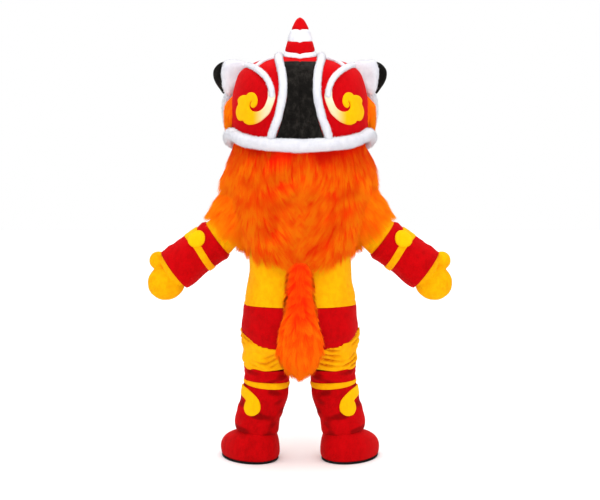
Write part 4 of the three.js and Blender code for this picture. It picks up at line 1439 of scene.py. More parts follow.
    def rolls(self) -> None:
        """The white rolls beside the panel and those that curl to the clouds."""
        piping = tube(self.shape.route(self.PIPING_ROUTE, 3, 90), self.piping_radius, 24)
        taper = np.linspace(self.curl_radius, self.curl_end_radius, 50)
        curl = tube(self.shape.route(self.CURL_ROUTE, 3, 50), taper, 20)
        branch = tube(self.shape.route(self.BRANCH_ROUTE, 2, 24), self.branch_radius, 16)
        for side in Side:
            word = side.word
            for name, form, nodes in (
                ("crown_roll", piping, [f"crown_piping_{word}"]),
                ("curl_roll", curl.plus(branch), [f"curl_piping_{word}"]),
            ):
                form = form.on(side).pushed(lambda p: 0.9 * lumps(p, 28, 11))
                self.room.hang(f"{name}_{word}", form, WHITE, nodes, fill=0.8)
                self.room.fuzz(f"{name}_pile_{word}", form, WHITE, 4.5, 60000.0)

    def clouds(self) -> None:
        """The yellow clouds, which fade to cream where they meet the white curls."""
        outline = closed_curve(self.CLOUD, 3.5)
        form = applique(outline, self.shape.on, 6.5, 5.0, 5.0)
        x, _, z = form.points.T
        crescent = 1 - (z > 1561) * (x > 172)
        form.marks["fade"] = smooth(202, 138, x) * crescent * (0.62 + 0.38 * smooth(1560, 1625, z))
        for side in Side:
            name = f"cloud_{side.word}"
            self.room.hang(f"{name}_padded", form.on(side), YELLOW_FLAT, [name], fill=0.3)

    def pillow(
        self, outline: Sequence[Sequence[float]], y: float, front: float, back: float
    ) -> Form:
        """A stuffed shape with an outline as seen from behind, fullest in its middle."""
        edge, round_off = closed_curve(outline, 4.0), 36.0

        def place(x: np.ndarray, z: np.ndarray, h: np.ndarray) -> np.ndarray:
            """Upright, with its height off the surface towards the back."""
            return np.stack([x, y + h, z], axis=-1)

        form = applique(edge, place, back, round_off, 6.0)
        half = len(form.points) // 2
        swell = np.sqrt(1 - (1 - np.clip(form.marks["inset"] / round_off, 0, 1)) ** 2)
        form.points[half:, 1] = y - 1 - front * swell[half:]
        return Form(form.points, form.faces).outward()

    def ears(self) -> None:
        """White ears with a black edge that shows past them."""
        ear = self.pillow(self.EAR, -40, 30, 34)
        rim = self.pillow(self.EAR_RIM, -46, 24, 20)
        for side in Side:
            word = side.word
            white = ear.on(side).pushed(lambda p: 1.5 * lumps(p, 30, 13))
            black = rim.on(side)
            self.room.hang(f"ear_{word}_stuffed", white, WHITE, [f"ear_{word}"], fill=0.7)
            self.room.hang(f"ear_edge_{word}", black, BLACK, [f"ear_rim_{word}"], fill=0.6)
            self.room.fuzz(f"ear_pile_{word}", white, WHITE, 5.0, 60000.0)

    def cheeks(self) -> None:
        """White trim and orange fur at the sides of the head."""
        trim = tube(even_path(np.array(self.TRIM_ROUTE, float), 60), 27.0, 26)
        pad = ball((296, -20, 1552), (30, 98, 80), 40, 24)
        normals = pad.normals()
        flow = np.array([0.15, 0.25, -1.0]) + normals * 0.35
        flow = flow - normals * (flow * normals).sum(-1, keepdims=True) * 0.55
        marks = {
            "flow": unit(flow),
            "reach": np.full(len(pad.points), 0.06),
            "dye_and_shade": 0.25 * smooth(1500, 1600, pad.points[:, 2]),
            "gold": np.full(len(pad.points), 0.4),
            "pelt": normals,
        }
        outer = pad.points[:, 0] > 285
        faces = [f for f in pad.faces if all(outer[i] for i in f)]
        scalp = Form(pad.points, faces, marks)
        for side in Side:
            word = side.word
            roll = trim.on(side).pushed(lambda p: 1.4 * lumps(p, 35, 17))
            self.room.hang(f"side_roll_{word}", roll, WHITE, [f"side_trim_{word}"], fill=0.8)
            self.room.fuzz(f"side_roll_pile_{word}", roll, WHITE, 6.0, 45000.0)
            base = Form(pad.points, pad.faces, root_marks(pad, 0.2)).on(side)
            self.room.hang(f"side_fur_pad_{word}", base, MANE_FUR, [f"side_fur_{word}"])
            pile = Pile(220000.0, clump_gap=0.018, seed=RNG_SEED + side.value)
            self.room.coat(f"side_fur_strands_{word}", scalp.on(side), pile, MANE_FUR)


@dataclass
class Face:
    """A plain lion face on the front of the head."""

    room: Workroom
    shape: HeadShape
    eye: tuple[float, float] = (112.0, 1652.0)
    pupil: tuple[float, float] = (102.0, 1648.0)
    nose_height: float = 1592.0
    lip_radius: float = 18.5
    brow_radius: float = 17.5

    BROW = ((44, 1698), (84, 1728), (134, 1732), (180, 1704))
    UPPER_LIP = (
        (-158, 1528), (-110, 1561), (-52, 1568), (0, 1560), (52, 1568), (110, 1561), (158, 1528),
    )
    LOWER_LIP = (
        (-158, 1528), (-122, 1492), (-66, 1467), (0, 1461), (66, 1467), (122, 1492), (158, 1528),
    )
    MOUTH = (
        (-125, 1534), (-100, 1541), (-62, 1546), (-30, 1545), (0, 1542), (30, 1545), (62, 1546),
        (100, 1541), (125, 1534), (112, 1510), (84, 1494), (44, 1486), (0, 1484), (-44, 1486),
        (-84, 1494), (-112, 1510),
    )

    @classmethod
    def mouth(cls) -> Form:
        """The block that is cut out of the head for the mouth."""
        outline = np.array(cls.MOUTH, float)[::-1]
        x, z = outline.T
        rings = [np.stack([x, np.full(len(x), y), z], axis=-1) for y in (-180.0, -400.0)]
        return stack(np.array(rings), poles=True)

    def build(self) -> None:
        """Makes every piece of the face."""
        for side in Side:
            self.one_side(side)
        upper, lower = (self.roll(r, self.lip_radius, 8) for r in (self.UPPER_LIP, self.LOWER_LIP))
        form = upper.plus(lower)
        self.room.hang("lip_fur_roll", form, WHITE, ["lip_roll"], fill=0.8)
        self.room.fuzz("lip_pile", form, WHITE, 7.0, 45000.0)
        centre = self.shape.on(0, self.nose_height, 14, -1)

        def nostrils(p: np.ndarray) -> np.ndarray:
            """Two dents in the front."""
            x, y, z = p.T
            down = ((z - self.nose_height + 10) / 8) ** 2
            dents = sum(np.exp(-(((x - aside) / 11) ** 2 + down)) for aside in (-22, 22))
            return -7 * dents * (y < centre[1] - 15)

        nose = ball(centre, (49, 40, 29), 48, 30).pushed(nostrils)
        self.room.hang("nose_padded", nose, YELLOW, ["nose"], fill=0.8)

    def roll(self, rows: Sequence[Sequence[float]], radius: float, out: float) -> Form:
        """A fur roll on the front of the head."""
        route = self.shape.route([(*row, -1) for row in rows], out, 60)
        return tube(route, radius, 20)

    def one_side(self, side: Side) -> None:
        """An eye with its pupil and brow."""
        word = side.word
        white = ball(self.shape.on(*self.eye, 4, -1), (53, 29, 56), 48, 30).on(side)
        self.room.hang(f"eye_{word}_dome", white, EYE_WHITE, [f"eye_{word}"])
        dark = ball(self.shape.on(*self.pupil, 26, -1), (24, 12, 27), 36, 22).on(side)
        self.room.hang(f"pupil_{word}_disc", dark, PUPIL, [f"pupil_{word}"])
        brow = self.roll(self.BROW, self.brow_radius, 10).on(side)
        self.room.hang(f"brow_{word}_roll", brow, WHITE, [f"brow_{word}"], fill=0.8)
        self.room.fuzz(f"brow_pile_{word}", brow, WHITE, 10.0, 60000.0)


@dataclass
class Horn:
    """The stuffed horn, sewn from five bands, with a seam down its back."""

    room: Workroom
    notch: float = 3.5

    ROWS = Table(
        "level y half tip",
        [
            (1772, 59, 83, 12),
            (1806, 55, 75.5, 12),
            (1828, 50, 67, 13),
            (1873, 40, 56, 9),
            (1924, 28, 40, 4),
            (1955, 22, 25, 2),
            (1970, 20, 13, 0),
            (1976.4, 20, 2.5, 0),
        ],
    )
    BANDS = (
        ("horn_base", 1772, 1806, RED),
        ("horn_lower_white", 1806, 1828, WHITE),
        ("horn_middle_red", 1828, 1873, RED),
        ("horn_upper_white", 1873, 1924, WHITE),
        ("horn_tip", 1924, 1976.4, RED),
    )

    def edge(self, level: float) -> Edge:
        """A seam's level, with its notch at the back."""
        if level in (self.ROWS.levels[0], self.ROWS.levels[-1]):
            return level
        return lambda angle: level - self.notch * np.exp(-(((angle % 360) - 90) / 10) ** 2)

    def build(self) -> None:
        """Makes the five bands."""
        skin = Skin(self.ROWS)
        for name, low, high, look in self.BANDS:
            angle, level = skin.grid(self.edge(low), self.edge(high), 22, 72)
            base, out = skin.point(angle, level), skin.normal(angle, level)
            near = np.abs(level - level[0])
            if name != "horn_tip":
                near = np.minimum(near, np.abs(level[-1] - level))
            rise = 1.2 * lumps(base, 30, 19) - 3.0 * np.exp(-near / 4.0)
            rise = rise - 2.4 * bell(90, 5, angle) * smooth(1976, 1940, level)
            form = stack(base + out * rise[..., None], poles=True)
            self.room.hang(f"{name}_stuffed", form, look, [name], fill=0.9)
            if look is WHITE:
                self.room.fuzz(f"{name}_pile", form, WHITE, 3.0, 60000.0)


# Suit


@dataclass(frozen=True)
class LegEdge:
    """A seam round a leg: its height, its rise to the outside and its sag at back and front."""

    height: float
    rise: float
    sag: float

    def __call__(self, angle: np.ndarray) -> np.ndarray:
        """The seam's level at angles."""
        turn = np.radians(angle)
        return self.height + self.rise * np.cos(turn) - self.sag * np.abs(np.sin(turn))


@dataclass
class Suit:
    """The jacket, hip band, trousers and leg bands."""

    room: Workroom
    wall: float = 9.0
    hip_top: float = 707.0
    neck: float = 1330.0
    crotch: float = 500.0

    BODY_ROWS = Table(
        "level half back front",
        [
            (455, 120, 92, 88), (472, 205, 150, 142), (503, 250, 196, 188), (557, 263, 212, 205),
            (624, 260, 209, 205), (705, 253, 202, 203), (768, 240, 194, 201), (810, 232, 190, 202),
            (885, 228, 188, 203), (1000, 230, 188, 202), (1100, 232, 184, 192), (1200, 228, 170, 172),
            (1265, 205, 148, 146), (1305, 160, 122, 118), (1330, 118, 102, 98), (1360, 112, 98, 94),
        ],
    )
    LEG_ROWS = Table(
        "level x half back front",
        [
            (100, 196, 96, 96, 96), (147, 194, 100, 100, 100), (200, 185.5, 103.5, 103, 103),
            (246, 171.5, 104.5, 104, 104), (296, 158, 105, 105, 105), (354, 151, 103, 104, 104),
            (390, 147.5, 105.5, 106, 106), (412, 147, 103, 106, 106), (430, 146, 108, 118, 116),
            (444, 145, 106, 120, 118), (462, 142, 114, 138, 134), (480, 137, 114, 146, 140),
            (510, 132, 116, 160, 152),
        ],
    )
    SLEEVE_ROWS = Table(
        "level x z half slope",
        [
            (0, 120, 1222, 84, 40), (80, 190, 1196, 90, 48), (160, 250, 1132, 88, 52),
            (240, 306, 1062, 86, 46), (345, 379.5, 988.5, 88, 35.9), (375, 403.8, 970.9, 88, 35.9),
        ],
    )
    HIP_EDGE = Table("level height", [(0, 593), (24, 566), (45, 530), (65, 519), (90, 516)])
    BAND_TOP = LegEdge(417, 6.5, 4.5)
    THIN_TOP = LegEdge(360, 7, 1)
    THIN_BOTTOM = LegEdge(342, 11, 9)
    HEM = LegEdge(135, 13, 8)
    SLEEVE_END = 345.0
    LEG_ARC = 1.83  # millimetres round the lower leg for each degree
    COMMA = (
        (-16, 330), (0, 338), (28, 334), (52, 321), (74, 294), (86, 262), (88, 232), (78, 214),
        (60, 217), (46, 240), (43, 262), (44, 278), (24, 291), (0, 298), (-16, 300),
    )

    def __post_init__(self) -> None:
        """Makes the skins."""
        self.body = Skin(self.BODY_ROWS, 2.2)
        self.leg = Skin(self.LEG_ROWS, 2.1)
        self.sleeve = Skin(self.SLEEVE_ROWS)

    def hip_bottom(self, angle: np.ndarray) -> np.ndarray:
        """Lower edge of the hip band."""
        return self.HIP_EDGE.read("height", 90 - np.abs(90 - angle % 180))

    def hip_line(self, angle: np.ndarray) -> np.ndarray:
        """Upper edge of the hip band."""
        return self.hip_top - 4 * np.abs(np.sin(np.radians(angle)))

    def build(self) -> None:
        """Makes every piece of the suit."""
        self.jacket()
        self.hips()
        self.trousers()
        self.legs()

    def jacket(self) -> None:
        """The yellow body and sleeves as one hollow piece."""
        trunk = core(self.body, 690.0, self.neck + 12, 40, 72)
        arm = core(self.sleeve, 0.0, self.SLEEVE_END + 8, 24, 48)
        form = blended([trunk, arm, arm.mirrored()], 6.5, 8)

        def relief(p: np.ndarray) -> np.ndarray:
            """Lumps, the drawn-in waist and the creased elbows."""
            x, _, z = p.T
            body = 2.2 * lumps(p * (1, 1, 1.6), 75, 21)
            waist = -3.0 * bell(722, 9, z + 5 * lumps(p, 90, 22)) * (np.abs(x) < 300)
            elbow = 2.4 * lumps(p * (2.2, 1, 1), 34, 23) * smooth(270, 340, np.abs(x))
            return body + waist + elbow

        form = form.pushed(relief)
        form = opened(form, (0, 0, self.hip_top - 3), (0, 0, -1))
        form = opened(form, (0, 0, self.neck), (0, 0, 1))
        slope = math.radians(ARM_SLOPE)
        for side in Side:
            sign = side.value
            out = (sign * math.cos(slope), 0, -math.sin(slope))
            place = (sign * CUFF_START[0], 0, CUFF_START[1])
            form = opened(form, place, out, lambda p: (p[:, 0] * sign > 300) & (p[:, 2] > 850))
        self.room.hang("jacket_padded", thickened(form, self.wall), YELLOW, ["jacket"], fill=0.4)

    def hips(self) -> None:
        """The red band round the hips, wrinkled beside the tail."""

        def relief(p: np.ndarray) -> np.ndarray:
            """Wrinkles that run to the tail, and lumps."""
            x, y, z = p[..., 0], p[..., 1], p[..., 2]
            wave = np.sin((z - 0.28 * np.abs(x)) / 9.0 + 1.5 * lumps(p, 60, 31))
            pinch = bell(95, 60, np.abs(x)) * smooth(60, 150, y) * bell(560, 55, z)
            return 3.0 * wave * pinch + 2.0 * lumps(p * (1, 1, 1.8), 60, 32)

        cloth = Cloth(rows=36, sides=150, seam=3.5)
        form = cloth.wall(self.body, self.hip_bottom, self.hip_line, relief)
        self.room.hang("hip_band_padded", form, RED_DEEP, ["hip_band"], fill=0.4)

    def trousers(self) -> None:
        """The yellow seat and thighs, with the cloth sagging in folds on each thigh."""
        seat = core(self.body, 455.0, lambda a: self.hip_bottom(a) + 10, 24, 72)
        thigh = core(self.leg, lambda a: self.BAND_TOP(a) - 8, self.crotch, 16, 56)
        form = blended([seat, thigh, thigh.mirrored()], 5.5, 8)

        def folds(p: np.ndarray) -> np.ndarray:
            """Sagging folds, 0 on the cloth and 1 at the bottom of a fold, which also sets the
            painted shade there.
            """
            x, y, z = p.T
            swag = 38 * ((np.abs(x) - 158) / 100) ** 2
            warp = 9 * lumps(p * (1, 1, 0.5), 75, 41)
            phase = (z - swag + warp) / 27 + np.where(y > 0, 0.0, 0.4)
            fade = smooth(424, 440, z) * smooth(606, 560, z) * smooth(20, 60, np.abs(x))
            short = np.clip(0.45 + 0.9 * lumps(p, 62, 43), 0, 1)
            return (1 - np.abs(np.sin(phase * math.pi))) ** 1.5 * fade * short

        def relief(p: np.ndarray) -> np.ndarray:
            """Folds, with the cloth full above the leg band."""
            return 5.0 * smooth(423, 450, p[:, 2]) - 19.0 * folds(p) + 3.0 * lumps(p, 50, 42) - 1.0

        form = form.pushed(relief)
        for side in Side:
            sign = side.value
            place = (sign * 147, 0, self.BAND_TOP.height - 3)
            out = (-sign * math.sin(math.radians(3.5)), 0, -1)
            form = opened(form, place, out, lambda p: (p[:, 0] * sign > 0) & (p[:, 2] < 452))
        form = thickened(self.seat_opened(form), self.wall)
        # Painted shade: the fold valleys are darkened towards the plush's deep orange
        form.marks["crease"] = np.clip(1.1 * folds(form.points), 0, 1)
        self.room.hang("trousers_padded", form, YELLOW, ["trousers"], fill=0.4)

    def seat_opened(self, form: Form) -> Form:
        """Takes off the seat's top along the hip band's lower edge."""
        angle = np.degrees(np.arctan2(form.points[:, 1], form.points[:, 0]))
        limit = self.hip_bottom(angle) + 3
        under = form.points[:, 2] < limit
        faces = [f for f in form.faces if all(under[i] for i in f)]
        used = sorted({i for f in faces for i in f})
        renumber = {old: new for new, old in enumerate(used)}
        return Form(form.points[used], [tuple(renumber[i] for i in f) for f in faces])

    def legs(self) -> None:
        """The bands and the lower leg with its comma, on each side."""

        def creased(amount: float, pitch: float, seed: int) -> Field:
            """Waves round the leg."""
            return lambda p: amount * np.sin(
                (p[..., 2] + 0.2 * p[..., 0]) / pitch + 2.2 * lumps(p, 55, seed)
            ) + 1.4 * lumps(p, 40, seed + 1)

        def plump(p: np.ndarray) -> np.ndarray:
            """An evenly stuffed band."""
            return 4.0 + 0.8 * lumps(p, 25, 53)

        pieces = (
            ("leg_band", self.THIN_TOP, self.BAND_TOP, RED_DEEP, creased(2.2, 7.0, 51), 18, 1.5),
            ("thin_band", self.THIN_BOTTOM, self.THIN_TOP, YELLOW, plump, 10, 4.5),
            ("lower_leg", self.HEM, self.THIN_BOTTOM, RED_DEEP, creased(1.3, 11.0, 55), 48, 2.5),
        )
        for name, low, high, look, relief, rows, seam in pieces:
            cloth = Cloth(thick=self.wall, rows=rows, sides=110, seam=seam, seam_width=6.0)
            form = cloth.wall(self.leg, low, high, relief)
            if look is RED_DEEP:
                # Painted shade: soft dark patches on the red leg pieces
                dents = lumps(form.points * (1, 1, 2.2), 70, 57)
                form.marks["crease"] = 0.6 * smooth(0.1, 0.9, dents)
            for side in Side:
                node = f"{name}_{side.word}"
                self.room.hang(f"{node}_padded", form.on(side), look, [node], fill=0.4)
        arc = self.LEG_ARC
        outline = closed_curve([(a * arc, z) for a, z in self.COMMA], 3.5)
        comma = applique(outline, lambda s, z, h: self.leg.at(s / arc, z, h + 1.2), 4.5, 4.0, 5.0)
        for side in Side:
            node = f"hook_motif_{side.word}"
            self.room.hang(f"{node}_padded", comma.on(side), YELLOW_FLAT, [node], fill=0.3)


@dataclass
class Arm:
    """The red cuff with its yellow band and disc, and the mitten."""

    room: Workroom
    cuff_length: float = 229.0
    wall: float = 9.0
    mitten_wall: float = 7.0
    cuff_radius: float = 96.0
    disc_radius: float = 41.0

    CUFF = ((-24, 98), (-8, 95), (12, 97), (36, 94), (110, 96), (229, 101), (249, 101))
    WRIST = ((169, 84, 84), (201, 85, 84), (233, 84, 76), (259, 72, 56))

    def __post_init__(self) -> None:
        """Keeps the direction from elbow to hand, in x and height."""
        turn = math.radians(ARM_SLOPE)
        self.ahead = np.array([math.cos(turn), -math.sin(turn)])

    def middle(self, distance: float) -> np.ndarray:
        """x and height of the forearm's middle, at a distance past the sleeve's end."""
        return np.array(CUFF_START) + self.ahead * distance

    def forearm(self, rows: Sequence[Sequence[float]]) -> Skin:
        """A skin of sections straight along the forearm."""
        table = [(row[0], *self.middle(row[0]), row[1], row[-1], ARM_SLOPE) for row in rows]
        return Skin(Table("level x z half deep slope", table))

    def build(self) -> None:
        """Makes both arms' pieces."""
        skin = self.forearm(self.CUFF)

        def relief(p: np.ndarray) -> np.ndarray:
            """Wrinkles at the wrist and the turned edge at the elbow."""
            along = (p[..., (0, 2)] - CUFF_START) @ self.ahead
            ripple = np.sin(along / 9.5 + 1.2 * lumps(p, 60, 61))
            upper = smooth(-40, 60, p[..., 2] - 900 + along * 0.3)
            wrist = 2.2 * ripple * smooth(110, 190, along) * upper
            return wrist + 3.0 * bell(2, 9, along) + 1.6 * lumps(p, 45, 62)

        cloth = Cloth(thick=self.wall, rows=56, sides=110, seam=2.5)
        cuff = cloth.wall(skin, -11.0, self.cuff_length, relief)

        def band_edge(sign: int) -> Edge:
            """An edge of the band, which widens to the disc on the arm's outer side."""

            def edge(angle: np.ndarray) -> np.ndarray:
                out = np.cos(np.radians(angle))
                return 76 - 9 * out + sign * (15 + 19 * np.maximum(0, out) ** 2)

            return edge

        cloth = Cloth(thick=5.0, rows=12, sides=110, seam=2.0, seam_width=4.0, lump=0.4)
        band = cloth.wall(skin, band_edge(-1), band_edge(1), lambda p: np.full(p.shape[:-1], 5.2))
        turns = np.arange(16) / 16 * 2 * math.pi
        round_edge = np.column_stack([np.cos(turns), np.sin(turns)]) * self.disc_radius
        disc = applique(
            closed_curve(round_edge, 3.5),
            lambda a, b, h: skin.at(56 + np.degrees(a / self.cuff_radius), 57 + b, h + 5.5),
            thick=5.0,
            edge=5.0,
            spacing=5.0,
            under=4.0,
        )
        mitten = self.mitten()
        for side in Side:
            word = side.word
            for name, form, look, nodes, fill in (
                (f"cuff_{word}_padded", cuff, RED_DEEP, [f"cuff_{word}"], 0.4),
                (f"cuff_band_{word}_sewn", band, YELLOW, [f"cuff_band_{word}"], None),
                (f"cuff_disc_{word}", disc, YELLOW_FLAT, [], 0.3),
                (f"mitten_{word}_padded", mitten, YELLOW, [f"mitten_{word}"], 0.5),
            ):
                self.room.hang(name, form.on(side), look, nodes, fill)

    def mitten(self) -> Form:
        """A hollow mitten with a thumb and the soft line of its fingers."""
        wrist = self.forearm(self.WRIST)
        forms = [
            ball((602, 0, 795), (83, 57, 78), 48, 32),
            ball((635, -4, 896), (42, 37, 41), 32, 20),
            core(wrist, 185.0, 256.0, 12, 48),
        ]
        form = blended(forms, 4.5, 6)

        def relief(p: np.ndarray) -> np.ndarray:
            """The groove between the fingers."""
            x, y, z = p.T
            line = bell(0, 6, (z - 800) * 0.62 + (x - 640) * 0.78) * smooth(612, 660, x)
            return -4.0 * line * smooth(-10, 40, np.abs(y)) + 1.5 * lumps(p, 34, 71)

        form = form.pushed(relief)
        x, z = self.middle(self.cuff_length - 26)
        place, out = (x, 0, z), (-self.ahead[0], 0, -self.ahead[1])
        return thickened(opened(form, place, out), self.mitten_wall)


class FootSkin(Skin):
    """A boot's surface, with the toe turned out."""

    TURN_OUT = 25.0

    def point(self, angle: np.ndarray, level: np.ndarray) -> np.ndarray:
        """The places at angles round the foot's own length and at levels."""
        read = self.table.read
        turn = math.radians(self.TURN_OUT)
        side = read("half", level) * np.cos(np.radians(angle))
        along = read("long", level) * np.sin(np.radians(angle))
        return np.stack(
            [
                read("x", level) + side * math.cos(turn) - along * math.sin(turn),
                read("y", level) + side * math.sin(turn) + along * math.cos(turn),
                np.asarray(level, float) + 0 * side,
            ],
            axis=-1,
        )


@dataclass
class Boot:
    """A red plush boot on a thin dark sole."""

    room: Workroom
    sole_thick: float = 10.0
    wall: float = 9.0

    ROWS = Table(
        "level x y long half",
        [
            (10, 227, -38, 166, 121), (22, 227.5, -39, 170, 125), (45, 228, -40, 171, 127),
            (68, 226, -36, 164, 124), (88, 221, -27, 149, 118), (106, 213, -15, 127, 108),
            (120, 203, -5, 105, 97), (134, 195, 0, 90, 89), (150, 191, 0, 84, 84),
            (185, 190, 0, 82, 82),
        ],
    )

    def build(self) -> None:
        """Makes both boots."""
        skin = FootSkin(self.ROWS)
        angle, level = skin.grid(self.sole_thick + 0.6, 185.0, 60, 120)
        base, out = skin.point(angle, level), skin.normal(angle, level)
        rise = 1.8 * lumps(base, 70, 81) - 2.0 * np.exp(-(level - level[0]) / 5.0)
        outer = base + out * rise[..., None]
        inner = np.flip(base[7:] - out[7:] * self.wall, axis=0)
        boot = stack(np.concatenate([outer, inner]), poles=True)
        rows = [
            (0, 227, -38, 160, 115), (1.5, 227, -38, 164, 119), (5, 227, -38, 166, 121),
            (8.5, 227, -38, 166, 121), (10, 227, -38, 165, 120),
        ]
        sole_skin = FootSkin(Table("level x y long half", rows))
        sole = core(sole_skin, 0.0, self.sole_thick, 10, 120)
        for side in Side:
            word = side.word
            shoe = boot.on(side)
            self.room.hang(f"boot_{word}_padded", shoe, RED_DEEP, [f"boot_{word}"], fill=0.6)
            self.room.hang(f"sole_{word}_rubber", sole.on(side), SOLE, [f"sole_{word}"])


# Mane and tail


@dataclass
class Mane:
    """The long fur over back, shoulders and upper arms."""

    room: Workroom
    inset: float = 26.0
    backing: float = 5.0
    columns: int = 120
    reach: float = 98.0
    chevron: float = 105.0

    ROWS = Table(
        "level half back front",
        [
            (850, 238, 236, 232), (900, 250, 240, 236), (1000, 276, 246, 242),
            (1100, 312, 252, 246), (1180, 336, 258, 250), (1240, 344, 262, 254),
            (1292, 346, 266, 258), (1358, 330, 270, 272), (1420, 312, 276, 292),
        ],
    )

    def hem(self, angle: np.ndarray) -> np.ndarray:
        """Where the backing of the fur ends, lowest at the middle of the back."""
        turn = np.radians(angle)
        aside = np.sqrt(np.cos(turn) ** 2 + 0.01)
        return np.where(np.sin(turn) > 0, 862 + 128 * aside, 946 + 44 * aside)

    def build(self) -> None:
        """Makes the backing and the fur on it."""
        skin = Skin(self.ROWS, 2.1)
        shape = HeadShape()
        angle, level = skin.grid(self.hem, lambda a: shape.rim(a) - 2, 46, self.columns)
        base, out = skin.point(angle, level), skin.normal(angle, level)
        swell = self.inset - 6 * lumps(base, 55, 91)
        outer = base - out * swell[..., None]
        cape = stack(np.concatenate([outer, (outer - out * self.backing)[::-1]]), looped=True)
        cape.marks = root_marks(cape, 0.35)
        self.room.hang("mane_backing", cape, MANE_FUR, ["mane"])
        quarter = self.columns // 4
        for i, name in enumerate(("back_left", "back_right", "front_right", "front_left")):
            picks = np.arange(i * quarter, (i + 1) * quarter + 1) % self.columns
            self.coat(f"mane_{name}_fur", outer[:, picks], out[:, picks], 31 + i, i < 2)
        self.arms()

    def dye_and_shade(self, points: np.ndarray) -> np.ndarray:
        """Redness of the fur, painted shade under the roll and in V-shaped rows between layers of
        tufts, and more red down the middle.
        """
        x, _, z = points.T
        row = (z - 0.7 * np.abs(x)) / self.chevron + 0.4 * lumps(points, 90, 96)
        rows = (0.5 + 0.5 * np.cos(2 * math.pi * row)) ** 2
        patches = np.maximum(0, lumps(points * (1, 1, 1.4), 55, 97))
        middle = bell(0, 12, x) * smooth(1200, 1050, z)
        return 0.85 * smooth(1362, 1402, z) + (0.35 + 0.8 * patches) * rows + 0.25 * middle

    def coat(self, name: str, skin: np.ndarray, out: np.ndarray, seed: int, behind: bool) -> None:
        """Fur on a part of the cape.

        Args:
            name: The piece's name.
            skin: Places of the backing, by row and column.
            out: Directions out of it.
            seed: Seed of its strands.
            behind: It is on the back, where the fur is finest.
        """
        points, normals = skin.reshape(-1, 3), out.reshape(-1, 3)
        x, _, z = points.T
        far = np.abs(x)
        pull = 0.85 * smooth(1375, 1230, z) * smooth(215, 120, far) * smooth(0, 25, far)
        spread = 0.9 * smooth(1330, 1200, z) * smooth(1000, 1100, z) * smooth(190, 290, far)
        across = np.sign(x) * (spread - pull * (1.0 if behind else 0.4))
        flow = np.stack([across, 0 * x, -np.ones_like(x)], axis=-1)
        flow = unit(flow - normals * (flow * normals).sum(-1, keepdims=True)) + normals * 0.2
        reach = self.reach + 16 * lumps(points, 60, 95) - 20 * smooth(1360, 1405, z)
        marks = {
            "flow": unit(flow),
            "pelt": normals,
            "reach": reach / METRE,
            "dye_and_shade": np.clip(self.dye_and_shade(points), 0, 1),
        }
        scalp = Form(points, sheet_faces(*skin.shape[:2]), marks)
        density = 165000.0 if behind else 92000.0
        pile = Pile(density, thickness=0.0115, clump_gap=0.017, clumping=0.5, seed=seed)
        self.room.coat(name, scalp, pile, MANE_FUR)

    def arms(self) -> None:
        """Fur down the sleeves to just above the cuffs."""
        skin = Skin(Suit.SLEEVE_ROWS)
        rows, sides = 30, 48
        angle = np.arange(sides) / sides * 360
        under = smooth(0.35, 1.0, (1 - np.cos(np.radians(angle))) / 2)
        last = 283 - 6 * under
        level = 20 + (last - 20) * np.linspace(0, 1, rows)[:, None]
        angles = np.broadcast_to(angle, level.shape)
        base, out = skin.point(angles, level), skin.normal(angles, level)
        lift = 8 + 20 * bell(150, 95, level) * (1 - 0.7 * under)
        outer = base + out * lift[..., None]
        ahead = unit(skin.point(angles, level + 3) - skin.point(angles, level - 3))
        fall = 0.3 + 0.9 * under * smooth(300, 180, level)
        flow = ahead - np.array([0, 0, 1.0]) * fall[..., None]
        flow = flow - out * (flow * out).sum(-1, keepdims=True) * (0.9 - 0.6 * under)[:, None]
        flow = (unit(flow) + out * 0.16).reshape(-1, 3)
        form = stack(outer)
        near_cuff = smooth(200, 280, np.broadcast_to(level, angles.shape)).ravel()
        reach = 82 + 10 * lumps(form.points, 50, 101) - 34 * near_cuff
        dye_and_shade = 0.1 + 0.35 * np.maximum(0, lumps(form.points, 60, 103))
        dye_and_shade = dye_and_shade * (1 - smooth(250, 330, form.points[:, 0]))
        form.marks = {
            "flow": unit(flow),
            "pelt": out.reshape(-1, 3),
            "reach": reach / METRE,
            "dye_and_shade": np.clip(dye_and_shade, 0, 1),
            "gold": 0.25 + 0.65 * near_cuff,
        }
        for side in Side:
            seed = 37 + side.value
            pile = Pile(110000.0, thickness=0.0145, clump_gap=0.018, clumping=0.5, seed=seed)
            self.room.coat(f"mane_arm_fur_{side.word}", form.on(side), pile, MANE_FUR)


